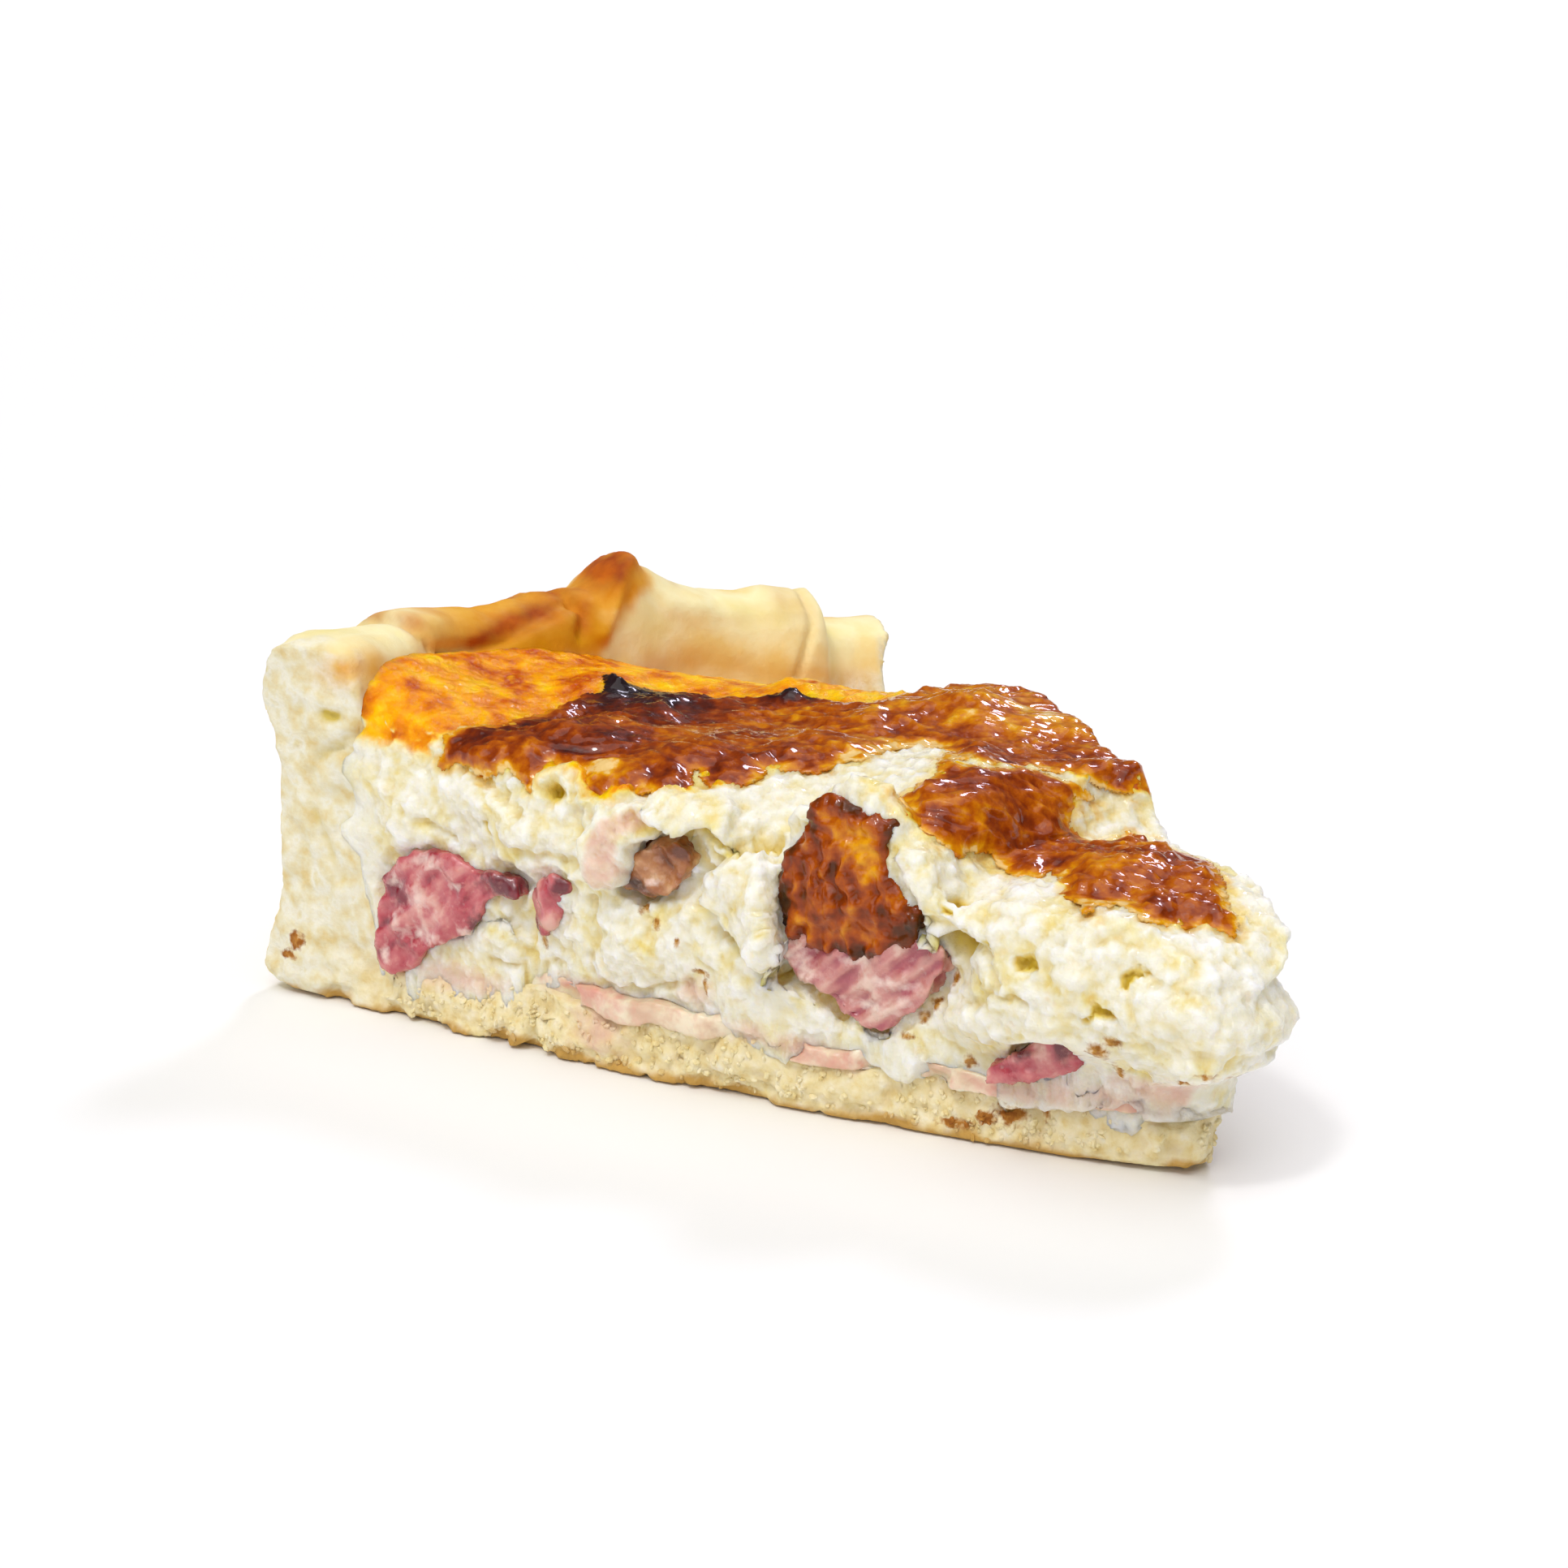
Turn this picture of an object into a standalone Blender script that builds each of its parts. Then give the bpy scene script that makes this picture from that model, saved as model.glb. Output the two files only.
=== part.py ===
"""Slice of ham and bacon quiche, an eighth of a tart baked in a 23 cm tin.

The slice lies on the plane z = 0. Its rounded tip points along +X and its pastry rim is at -X. The near cut
faces -Y and the far cut faces +Y. Heights, radii and thicknesses below are in millimetres, angles are in
degrees, and every vertex is scaled to metres when it is placed.

Each soft piece is a cube that planes slice into a grid, and a function then carries each grid point to its
place in the slice: along the slice, across it, and up through the layer.
"""

import math

import bmesh
import bpy
from mathutils import Matrix, Vector, noise

MM = 0.001

# The whole tart and the cut
TIN_RADIUS = 115.0
SLICE_ANGLE = 45.0
HALF_ANGLE = SLICE_ANGLE / 2
TIP_X, TIP_Y = 59.15, 0.1  # where the two cuts would meet, from the middle of the slice's own box
PIECE_GAP = 0.5
WALL_GAP = 1.0  # between the custard and the wall, which curves between their grid points
POCKET_GAP = 0.8  # round a piece of ham in its pocket

# Pastry
BASE_THICKNESS = 5.6
RIM_HEIGHT = 41.0
WALL_SCALED_FROM = 22.0  # below this height the wall is the same all the way round
PEAK_ANGLE = 2.9  # the tall fold of the rim
CREASE_ANGLE = 17.3  # where one fold of the rim overlaps the next
CREASE_SLOPE = 0.8  # degrees to either side of the crease over which the overlap steps out
FAR_FOLD_SHIFT = 3.0  # how much further out the fold past the crease stands
FOLD_HEIGHTS = (16.0, 34.0)  # the folds begin at the first height and are full at the second
FOLD_WAVE = (0.9, 21.0)  # depth of the folds, and how many of them would go round the whole tart
PEAK_LEAN = (1.2, 3.0)  # how far the tall fold leans in, and over how many degrees
FAR_TRIM = 1.3  # the far cut of the rim has crumbled back by this much
FAR_TRIM_FROM = 0.7  # share of the way from the middle to the far cut where that starts
FAR_TRIM_HEIGHTS = (10.0, 24.0)
PASTRY_TIP = (9.5, 4.0)  # setback of the rounded tip's centre, and its radius
PASTRY_TIP_BEVEL = 0.6
PASTRY_BOW = 3.6
FAR_CUT_BOW_SHARE = 0.3  # the base and the ham on it belly out this much less at the far cut
FOOT_RISE_SHARE = 0.2  # share of the wall over which its inside meets the uneven base

# Unevenness: how high the lumps are, and about how many millimetres across
BASE_LUMPS = (0.4, 34.0)
WALL_LUMPS = (0.5, 9.0)
CREST_LUMPS = (0.5, 8.0)
CRUMB_LUMPS = (0.7, 6.0)
TOP_LUMPS = (0.55, 11.0)
NEAR_LUMPS = (0.8, 8.0)
FAR_LUMPS = (0.9, 9.0)
LAYER_LUMPS = (0.35, 26.0)
LAYER_EDGE_LUMPS = (0.6, 9.0)
PIECE_LUMPS = (0.35, 4.0)
WALL_LUMPS_FROM = (6.0, 12.0)  # heights over which the unevenness of the wall sets in
CRUMB_FROM = 1.5  # height over which the crumbled cuts set in above the flat underside
COVERED_BAND = (1.0, 4.0)  # heights above the custard over which the inside of the wall turns bare

# Where each surface lies in the noise, so that no two of them share their lumps
NOISE_PLACE = {
    "top": 3.0,
    "edge": 5.0,
    "crumb": 7.0,
    "side": 9.0,
    "far": -17.0,
    "near": 21.0,
    "layer": 40.0,
    "piece": 60.0,
}

# (radius, height) along the outside of the wall and along its inside, from the base up to the crest
WALL_OUTSIDE = (
    (TIN_RADIUS - 3.0, 0.0),
    (TIN_RADIUS + 3.4, 0.8),
    (TIN_RADIUS + 6.0, 3.4),
    (TIN_RADIUS + 4.0, 9.0),
    (TIN_RADIUS + 2.6, 16.0),
    (TIN_RADIUS + 2.4, 24.0),
    (TIN_RADIUS + 3.6, 31.0),
    (TIN_RADIUS + 4.6, 36.0),
    (TIN_RADIUS + 2.8, 39.7),
    (TIN_RADIUS - 1.8, RIM_HEIGHT),
)
WALL_INSIDE = (
    (TIN_RADIUS - 17.0, BASE_THICKNESS),
    (TIN_RADIUS - 13.4, 6.8),
    (TIN_RADIUS - 11.6, 9.2),
    (TIN_RADIUS - 10.4, 13.0),
    (TIN_RADIUS - 9.7, 18.0),
    (TIN_RADIUS - 9.3, 25.0),
    (TIN_RADIUS - 9.4, 31.0),
    (TIN_RADIUS - 9.1, 36.0),
    (TIN_RADIUS - 7.7, 39.4),
    (TIN_RADIUS - 4.6, RIM_HEIGHT - 0.1),
)

# (angle, height) along the folded crest, from the near cut to the far one
RIM_CREST = (
    (-HALF_ANGLE, RIM_HEIGHT + 0.2),
    (-17.2, RIM_HEIGHT + 0.2),
    (-15.0, RIM_HEIGHT + 1.6),
    (-10.0, RIM_HEIGHT + 0.5),
    (-1.8, RIM_HEIGHT + 0.6),
    (PEAK_ANGLE, RIM_HEIGHT + 4.9),
    (10.2, RIM_HEIGHT - 2.0),
    (14.4, RIM_HEIGHT - 1.6),
    (CREASE_ANGLE - 0.6, RIM_HEIGHT - 2.3),
    (CREASE_ANGLE + 0.6, RIM_HEIGHT - 7.0),
    (HALF_ANGLE, RIM_HEIGHT - 7.2),
)

# Ham layer that runs between the base and the custard
HAM_LAYER_THICKNESS = 2.5
HAM_LAYER_SPAN = (0.04, 0.95)  # shares of the way from the tip to the wall
HAM_LAYER_TAPER = 0.04  # share of the way over which the custard closes down past its ends
HAM_LAYER_BOW = (0.85, 0.5)  # share of the pastry's bow that its cuts follow, and how far they stand out
HAM_LAYER_WORN = 0.3  # how far its cut edges are worn back

# Custard
CUSTARD_TIP = (3.4, 5.8)
CUSTARD_TIP_FOOT = (8.5, 5.0)
PLATEAU = 33.8
TERRACE = 27.8  # the lower step of the top at the tip
TERRACE_EDGE = 31.0
TERRACE_HALF_SLOPE = 1.8
TIP_DROP = 5.4  # how far the top rounds down at the very tip
TIP_DROP_FROM = 8.0  # distance from where the cuts meet, inside which it rounds down
TIP_DROP_LENGTH = 10.4
CUSTARD_BOW = 4.2
FAR_BOW = 0.2
ROUND_OVER = 1.6  # how far the upper edge of the near cut rounds back
ROUND_OVER_FROM = 0.8  # share of the height where that starts
FAR_ROUND_SHARE = 0.7  # the upper edge of the far cut rounds back less
FOOT_TUCK = (0.3, 0.25)  # share of the belly that is gone at the foot, and share of the height it takes
WALL_FIT_FROM = 0.7  # share of the way to the wall past which each point fits the wall at its own height
TIP_LEAN_LEVEL = 0.45  # share of the height below which the tip leans back to its foot

# Near the wall the top climbs or sinks to meet it: from and to these distances from the tip
TOP_BEND = (84.0, 104.0)
TOP_BEND_SPREAD = (0.25, 1.2)  # how much nearer the tip that starts, a degree, on the near and the far half
TOP_BEND_POWER = 1.7  # how late most of the bend comes
TOP_BEND_POWER_TURN = 0.01  # how much of that goes with each degree towards the far cut

# Level of the top along the wall: high at the near end, low at the far one
WALL_LEVEL = 31.8
WALL_LEVEL_FALL = 8.0  # half of the fall
WALL_LEVEL_TURN = (3.0, 13.0)  # angle in the middle of the fall, and how wide it is
WALL_LEVEL_DIP = (2.4, -19.0)  # dip at the near cut, and the angle where it starts

# The shoulder of the top along the near cut
SHOULDER_REACH = 4.5  # to either side of the straight cut
SHOULDER_DROP = (1.2, 3.4)  # on the terrace and on the plateau
SHOULDER_STEP = (24.0, 34.0)
SHOULDER_END = (88.0, 102.0)

# The edge of the top that has torn away above the flap: distance from the tip, width, depth
TORN_EDGE = (50.0, 8.0, 4.2)
TORN_EDGE_INLAND = (-4.0, 13.0)  # from the near cut inwards

# Shares of the cut faces that stay smooth, so that the custard meets its neighbours
SMOOTH_ENDS = (0.06, 0.9, 0.99)
SMOOTH_FOOT = 0.15
SMOOTH_TOP = (0.85, 0.7)  # from this share of the height, the relief loses this share

# Number of cells along, across and up
CUSTARD_CELLS = (38, 12)
LAYER_CELLS = 18
BASE_CELLS = 12
WALL_CELLS = 15
PASTRY_THROUGH = 3
ACROSS_CELLS = 20
CREASE_CUTS = 0.013  # share of the way across between the crease and the cut on each side of it

# Pieces that show in the cut faces: (distance from the tip, lowest, highest) at stations from the wall's side
# of the piece to the tip's side
NEAR_PIECES = {
    "ham_near_rim": (
        (102.3, 5.8, 15.6),
        (98.6, 7.0, 19.0),
        (95.0, 11.6, 20.9),
        (90.0, 12.4, 20.9),
        (86.0, 14.8, 20.8),
        (81.9, 17.4, 20.6),
    ),
    "ham_near_sliver": (
        (80.7, 15.6, 18.6),
        (79.0, 13.1, 20.4),
        (76.9, 15.4, 21.4),
        (74.8, 17.4, 20.4),
    ),
    "browned_lardon": (
        (68.4, 20.6, 22.2),
        (66.4, 20.4, 25.2),
        (63.8, 20.7, 26.7),
        (61.2, 21.6, 27.1),
        (59.2, 23.6, 26.2),
    ),
    "ham_near_middle": (
        (47.9, 15.0, 17.2),
        (44.6, 13.4, 18.0),
        (40.8, 11.2, 18.5),
        (37.0, 10.6, 19.2),
        (33.4, 13.0, 20.0),
        (30.4, 15.6, 20.4),
    ),
    "ham_near_tip": (
        (25.0, 7.9, 10.2),
        (22.0, 9.4, 12.2),
        (19.0, 10.6, 13.8),
        (16.1, 11.8, 14.4),
    ),
}
FAR_PIECES = {
    "ham_far_rim": (
        (96.0, 12.6, 15.6),
        (91.5, 10.6, 18.0),
        (86.0, 10.0, 18.6),
        (80.0, 12.2, 17.4),
        (75.5, 14.4, 16.2),
    ),
    "ham_far_middle": (
        (60.5, 20.6, 23.0),
        (56.0, 17.6, 25.4),
        (50.5, 17.2, 26.0),
        (45.6, 20.0, 24.0),
    ),
    "ham_far_tip": (
        (36.0, 11.0, 13.4),
        (31.5, 9.6, 15.6),
        (26.0, 10.2, 15.0),
        (22.0, 12.2, 13.8),
    ),
}
TORN_SKIN = (
    (48.9, 20.4, 25.0),
    (46.4, 18.4, 30.6),
    (43.2, 17.9, 33.8),
    (40.0, 18.2, 34.2),
    (37.0, 18.8, 32.4),
    (34.8, 19.6, 27.6),
    (32.9, 21.4, 24.4),
)
PIECE_DEPTH = 7.0
PIECE_PROUD = 0.9
TORN_SKIN_DEPTH = 3.6
TORN_SKIN_PROUD = 2.6
PIECE_CELLS = (7, 4, 3)
PIECE_ROUNDNESS = 0.55  # 0 is a block, 1 is a ball
PIECE_FOLLOWS = 0.5  # share of the near cut's relief that a piece in it follows
CUTTER_REACH = 4.0  # how far a pocket's cutter stands out of the cut face

# Hollows (negative) and lumps of the near cut: distance from the tip, height, half width, half height, depth
NEAR_RELIEF = (
    (65.0, 23.5, 7.0, 5.0, -3.2),
    (92.0, 15.0, 9.0, 6.0, -1.6),
    (29.6, 17.8, 2.6, 4.2, -4.6),
    (41.0, 26.0, 7.5, 8.0, -2.2),
    (52.0, 21.5, 3.6, 5.5, 2.2),
    (60.0, 30.0, 9.0, 3.0, 1.2),
    (39.0, 14.5, 8.0, 4.0, -1.2),
    (14.0, 20.0, 6.0, 7.0, 1.4),
    (86.0, 26.0, 8.0, 5.0, 1.0),
)

# Burnt peaks and dips of the top: distance from the tip, angle from the middle, width, height
TOP_RELIEF = (
    (92.5, -7.0, 4.4, 1.9),
    (79.0, 5.0, 4.6, 1.6),
    (61.0, 15.0, 11.0, 1.7),
    (38.0, 17.0, 9.0, -1.2),
    (70.0, -8.0, 10.0, -0.8),
    (38.0, -6.0, 7.0, 1.2),
    (16.0, -6.0, 5.0, 0.8),
)


def ramp(start, end, value):
    share = min(max((value - start) / (end - start), 0.0), 1.0)
    return share * share * (3 - 2 * share)


def eased(stations, value):
    """Second number of the stations where the first one is this value, eased from each to the next."""
    for (start, low), (end, high) in zip(stations, stations[1:]):
        if value <= end:
            return mix(low, high, ramp(start, end, value))
    return stations[-1][1]


def bump(distance, width):
    return math.exp(-((distance / width) ** 2))


def mix(first, second, share):
    return first + (second - first) * share


def lumps(x, y, z, height, size):
    """Smooth unevenness, at most this high, whose lumps are about this many millimetres across."""
    return 2.0 * height * noise.noise(Vector((x, y, z)) / size)


def along_curve(points, share):
    """Point at this share of a smooth curve through the points."""
    place = min(max(share, 0.0), 1.0) * (len(points) - 1)
    step = min(int(place), len(points) - 2)
    t = place - step
    before, start = points[max(step - 1, 0)], points[step]
    end, after = points[step + 1], points[min(step + 2, len(points) - 1)]
    return tuple(
        0.5 * (2 * b + (c - a) * t + (2 * a - 5 * b + 4 * c - d) * t**2 + (3 * b - a - 3 * c + d) * t**3)
        for a, b, c, d in zip(before, start, end, after)
    )


def even(count):
    return [step / count for step in range(count + 1)]


def across_cuts():
    """Even cuts from the near side to the far side, and two more close to the crease of the rim."""
    crease = 0.5 + 0.5 * CREASE_ANGLE / HALF_ANGLE
    return sorted(even(ACROSS_CELLS) + [crease - CREASE_CUTS, crease + CREASE_CUTS])


# Plan of the slice


def cut_direction(side):
    """Unit vector from the tip along a cut: side is -1 for the near cut and 1 for the far one."""
    angle = math.radians(HALF_ANGLE)
    return Vector((-math.cos(angle), side * math.sin(angle), 0.0))


def cut_normal(side):
    angle = math.radians(HALF_ANGLE)
    return Vector((math.sin(angle), side * math.cos(angle), 0.0))


def custard_bow(distance):
    """How far the near cut of the soft custard bellies out beyond a straight cut."""
    return CUSTARD_BOW * (1 - min(max(distance / TIN_RADIUS, 0.0), 1.0) ** 3)


def plan_point(along, side, tip, reach, near_bow, far_bow):
    """Point of the plan: along runs from the rounded tip (0) to the wall (1), side from -1 to 1."""
    setback, radius = tip
    turn = math.radians(90 - HALF_ANGLE) * side
    start = Vector((radius * math.cos(turn) - setback, radius * math.sin(turn), 0.0))
    angle = math.radians(HALF_ANGLE) * side
    end = Vector((-math.cos(angle), math.sin(angle), 0.0)) * reach
    point = start.lerp(end, along)
    point += cut_normal(-1) * near_bow * ramp(0.1, -1.0, side)
    return point + cut_normal(1) * far_bow * ramp(-0.1, 1.0, side)


# Pastry


def wall_height(height, angle):
    """A height of the plain wall, stretched to reach the folded crest."""
    if height <= WALL_SCALED_FROM:
        return height
    share = (eased(RIM_CREST, angle) - WALL_SCALED_FROM) / (RIM_HEIGHT - WALL_SCALED_FROM)
    return WALL_SCALED_FROM + (height - WALL_SCALED_FROM) * share


def wall_shift(height, angle):
    """How far the folds push the wall out or in."""
    depth, count = FOLD_WAVE
    lean, width = PEAK_LEAN
    folds = depth * math.sin(math.radians(angle * count))
    folds += FAR_FOLD_SHIFT * ramp(-CREASE_SLOPE, CREASE_SLOPE, angle - CREASE_ANGLE)
    return ramp(*FOLD_HEIGHTS, height) * (folds - lean * bump(angle - PEAK_ANGLE, width))


def base_top(x, y):
    return BASE_THICKNESS + lumps(x, y, 0.0, *BASE_LUMPS)


def pastry_point(along, across, through):
    """Along the base and up the wall (0 to 1), from near to far, from the outside to the inside."""
    side = 2 * across - 1
    angle = HALF_ANGLE * side
    corner = BASE_CELLS / (BASE_CELLS + WALL_CELLS)
    if along <= corner:
        share = along / corner
        reach = mix(WALL_OUTSIDE[0][0], WALL_INSIDE[0][0], through)
        bow = PASTRY_BOW * math.sin(math.pi * share)
        point = plan_point(share, side, PASTRY_TIP, reach, bow, FAR_CUT_BOW_SHARE * bow)
        point.z = through * base_top(point.x, point.y)
        if share == 0:
            point.z = mix(PASTRY_TIP_BEVEL, point.z, through)
    else:
        share = (along - corner) / (1 - corner)
        outside, inside = along_curve(WALL_OUTSIDE, share), along_curve(WALL_INSIDE, share)
        radius, height = (mix(a, b, through) for a, b in zip(outside, inside))
        radius += wall_shift(height, angle)
        turn = math.radians(angle)
        point = Vector((-math.cos(turn), math.sin(turn), 0.0)) * radius
        point -= cut_normal(1) * FAR_TRIM * ramp(FAR_TRIM_FROM, 1.0, side) * ramp(*FAR_TRIM_HEIGHTS, height)
        point.z = wall_height(height, angle)
        if through == 1:
            foot = base_top(point.x, point.y) - BASE_THICKNESS
            point.z += foot * (1 - ramp(0.0, FOOT_RISE_SHARE, share))
    covered = through * (1 - ramp(*COVERED_BAND, point.z - level_at_wall(angle)))
    return point + pastry_relief(point, side, 1 - covered)


def pastry_relief(point, side, bare):
    """Crumbly unevenness: none under the base or behind the filling, most on the wall and the two cuts."""
    x, y, z = point
    push = Vector((lumps(x, y, z, *WALL_LUMPS), 0.0, lumps(y, z, x, *CREST_LUMPS)))
    push *= bare * ramp(*WALL_LUMPS_FROM, z)
    if abs(side) == 1:
        crumb = lumps(x, z, NOISE_PLACE["crumb"] * side, *CRUMB_LUMPS)
        push += cut_normal(side) * crumb * ramp(0.0, CRUMB_FROM, z)
    return push


# Custard


def wall_inside(height, angle):
    """Radius of the wall's inside at this height: the custard ends there."""
    plain = height
    if height > WALL_SCALED_FROM:
        share = (eased(RIM_CREST, angle) - WALL_SCALED_FROM) / (RIM_HEIGHT - WALL_SCALED_FROM)
        plain = WALL_SCALED_FROM + (height - WALL_SCALED_FROM) / share
    radius = WALL_INSIDE[0][0]
    for (lower_radius, lower), (upper_radius, upper) in zip(WALL_INSIDE, WALL_INSIDE[1:]):
        if plain >= lower:
            radius = mix(lower_radius, upper_radius, min((plain - lower) / (upper - lower), 1.0))
    return radius + wall_shift(plain, angle)


def level_at_wall(angle):
    """The custard stands high against the near end of the rim and sinks towards the far end."""
    turn, width = WALL_LEVEL_TURN
    dip, dip_start = WALL_LEVEL_DIP
    fall = WALL_LEVEL_FALL * math.tanh((angle - turn) / width)
    return WALL_LEVEL - fall - dip * ramp(dip_start, -HALF_ANGLE, angle)


def top_height(x, y):
    """Height of the browned top over this point of the plan."""
    distance = math.hypot(x, y)
    angle = math.degrees(math.atan2(y, -x)) if x < 0 else 0.0
    angle = min(max(angle, -HALF_ANGLE), HALF_ANGLE)
    from_near = -(cut_normal(-1).x * x + cut_normal(-1).y * y)
    from_edge = distance - TERRACE_EDGE
    height = mix(TERRACE, PLATEAU, ramp(-TERRACE_HALF_SLOPE, TERRACE_HALF_SLOPE, from_edge))
    height -= TIP_DROP * (max(x + TIP_DROP_FROM, 0.0) / TIP_DROP_LENGTH) ** 2
    start, end = TOP_BEND
    start -= TOP_BEND_SPREAD[angle > 0] * angle
    share = min(max((distance - start) / (end - start), 0.0), 1.0)
    height = mix(height, level_at_wall(angle), share ** (TOP_BEND_POWER - TOP_BEND_POWER_TURN * angle))
    for place, turn, width, lift in TOP_RELIEF:
        gap = math.hypot(distance - place, math.radians(angle - turn) * distance)
        height += lift * bump(gap, width)
    shoulder = (1 - ramp(-SHOULDER_REACH, SHOULDER_REACH, from_near)) * (1 - ramp(*SHOULDER_END, distance))
    height -= mix(*SHOULDER_DROP, ramp(*SHOULDER_STEP, distance)) * shoulder
    place, width, depth = TORN_EDGE
    torn = bump(distance - place, width) * (1 - ramp(*TORN_EDGE_INLAND, from_near))
    return height - depth * torn + lumps(x, y, NOISE_PLACE["top"], *TOP_LUMPS)


def near_relief(distance, height):
    relief = lumps(distance, height, NOISE_PLACE["near"], *NEAR_LUMPS)
    for place, level, half_width, half_height, depth in NEAR_RELIEF:
        from_middle = math.hypot((distance - place) / half_width, (height - level) / half_height)
        relief += depth * bump(from_middle, 1.0)
    return relief


def far_relief(distance, height):
    return lumps(distance, height, NOISE_PLACE["far"], *FAR_LUMPS)


def layer_share(along):
    """1 where the ham layer lies, 0 past its ends."""
    start, end = HAM_LAYER_SPAN
    return ramp(start - HAM_LAYER_TAPER, start, along) * (1 - ramp(end, end + HAM_LAYER_TAPER, along))


def custard_bottom(along, x, y):
    return base_top(x, y) + PIECE_GAP + (ham_layer_depth(x, y) + PIECE_GAP) * layer_share(along)


def custard_tip(level):
    """The tip leans out over the base: its foot, at level 0, is set back."""
    share = ramp(0.0, TIP_LEAN_LEVEL, level)
    return tuple(mix(foot, upper, share) for foot, upper in zip(CUSTARD_TIP_FOOT, CUSTARD_TIP))


def custard_point(along, across, level):
    """From tip to wall, from near to far, and from the bottom to the browned top."""
    side = 2 * across - 1
    angle = HALF_ANGLE * side
    round_over = ROUND_OVER * ramp(ROUND_OVER_FROM, 1.0, level) ** 2
    tuck, tuck_height = FOOT_TUCK
    belly = 1 - tuck * (1 - ramp(0.0, tuck_height, level))
    near_bow = custard_bow(along * TIN_RADIUS) * belly - round_over
    far_bow = FAR_BOW * math.sin(math.pi * along) - FAR_ROUND_SHARE * round_over
    shape = (along, side, custard_tip(level))
    bows = (near_bow, far_bow)
    guess = mix(BASE_THICKNESS, level_at_wall(angle), level)
    flat = plan_point(*shape, wall_inside(guess, angle) - WALL_GAP, *bows)
    height = mix(custard_bottom(along, flat.x, flat.y), top_height(flat.x, flat.y), level)
    reach = wall_inside(mix(guess, height, ramp(WALL_FIT_FROM, 1.0, along)), angle) - WALL_GAP
    point = plan_point(*shape, reach, *bows)
    point.z = height
    tip_end, wall_start, wall_end = SMOOTH_ENDS
    top_start, top_share = SMOOTH_TOP
    inland = ramp(0.0, tip_end, along) * (1 - ramp(wall_start, wall_end, along))
    shown = inland * ramp(0.0, SMOOTH_FOOT, level) * (1 - top_share * ramp(top_start, 1.0, level))
    if side == -1:
        point += cut_normal(-1) * near_relief(along * TIN_RADIUS, point.z) * shown
    if side == 1:
        point += cut_normal(1) * far_relief(along * TIN_RADIUS, point.z) * shown
    return point


# Ham


def ham_layer_depth(x, y):
    return HAM_LAYER_THICKNESS + lumps(x, y, NOISE_PLACE["layer"], *LAYER_LUMPS)


def ham_layer_point(along, across, level):
    side = 2 * across - 1
    share = mix(*HAM_LAYER_SPAN, along)
    follows, proud = HAM_LAYER_BOW
    bow = follows * PASTRY_BOW * math.sin(math.pi * share) + proud
    reach = WALL_INSIDE[0][0] - PIECE_GAP
    point = plan_point(share, side, CUSTARD_TIP_FOOT, reach, bow, FAR_CUT_BOW_SHARE * bow)
    point.z = base_top(point.x, point.y) + PIECE_GAP + level * ham_layer_depth(point.x, point.y)
    if abs(side) == 1:
        worn = lumps(point.x, NOISE_PLACE["edge"], NOISE_PLACE["side"] * side, *LAYER_EDGE_LUMPS)
        point += cut_normal(side) * (worn - HAM_LAYER_WORN)
    return point


def rounded(a, b, c, amount):
    """A point of the cube from -1 to 1, moved this share of the way to the ball inside the cube."""
    ball = (
        a * math.sqrt(1 - b * b / 2 - c * c / 2 + b * b * c * c / 3),
        b * math.sqrt(1 - c * c / 2 - a * a / 2 + c * c * a * a / 3),
        c * math.sqrt(1 - a * a / 2 - b * b / 2 + a * a * b * b / 3),
    )
    return (mix(flat, curved, amount) for flat, curved in zip((a, b, c), ball))


def piece_placer(stations, side, depth, proud, grow=0.0, reach=0.0):
    """Places a piece in a cut face. grow and reach make the cutter of its pocket instead."""

    def place(along, up, back):
        a, b, c = rounded(2 * along - 1, 2 * up - 1, 2 * back - 1, PIECE_ROUNDNESS)
        distance, lowest, highest = along_curve(stations, (a + 1) / 2)
        distance -= grow * a
        middle, half = (lowest + highest) / 2, (highest - lowest) / 2 + grow
        height = middle + b * half
        if side < 0:
            face = custard_bow(distance) + PIECE_FOLLOWS * near_relief(distance, height)
        else:
            face = FAR_BOW * math.sin(math.pi * distance / TIN_RADIUS)
        uneven = lumps(distance, height, NOISE_PLACE["piece"] * side, *PIECE_LUMPS)
        front = face + proud + uneven * (1 - back)
        offset = mix(front + reach, face + proud - depth - grow, (c + 1) / 2)
        point = cut_direction(side) * distance + cut_normal(side) * offset
        point.z = height
        return point

    return place


# Making the objects


def paint(name, colour, roughness):
    material = bpy.data.materials.new(name)
    material.use_nodes = True
    shader = material.node_tree.nodes["Principled BSDF"]
    shader.inputs["Base Color"].default_value = (*colour, 1.0)
    shader.inputs["Roughness"].default_value = roughness
    shader.inputs["Metallic"].default_value = 0.0
    material.diffuse_color = (*colour, 1.0)
    return material


def sliced_block(cuts):
    """A unit cube that planes at these shares of its three sides have sliced into a grid."""
    block = bmesh.new()
    bmesh.ops.create_cube(block, size=1.0, matrix=Matrix.Translation((0.5, 0.5, 0.5)))
    for axis, shares in enumerate(cuts):
        normal = Vector((axis == 0, axis == 1, axis == 2))
        for share in shares[1:-1]:
            parts = block.verts[:] + block.edges[:] + block.faces[:]
            bmesh.ops.bisect_plane(block, geom=parts, dist=1e-6, plane_co=normal * share, plane_no=normal)
    return block


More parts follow.
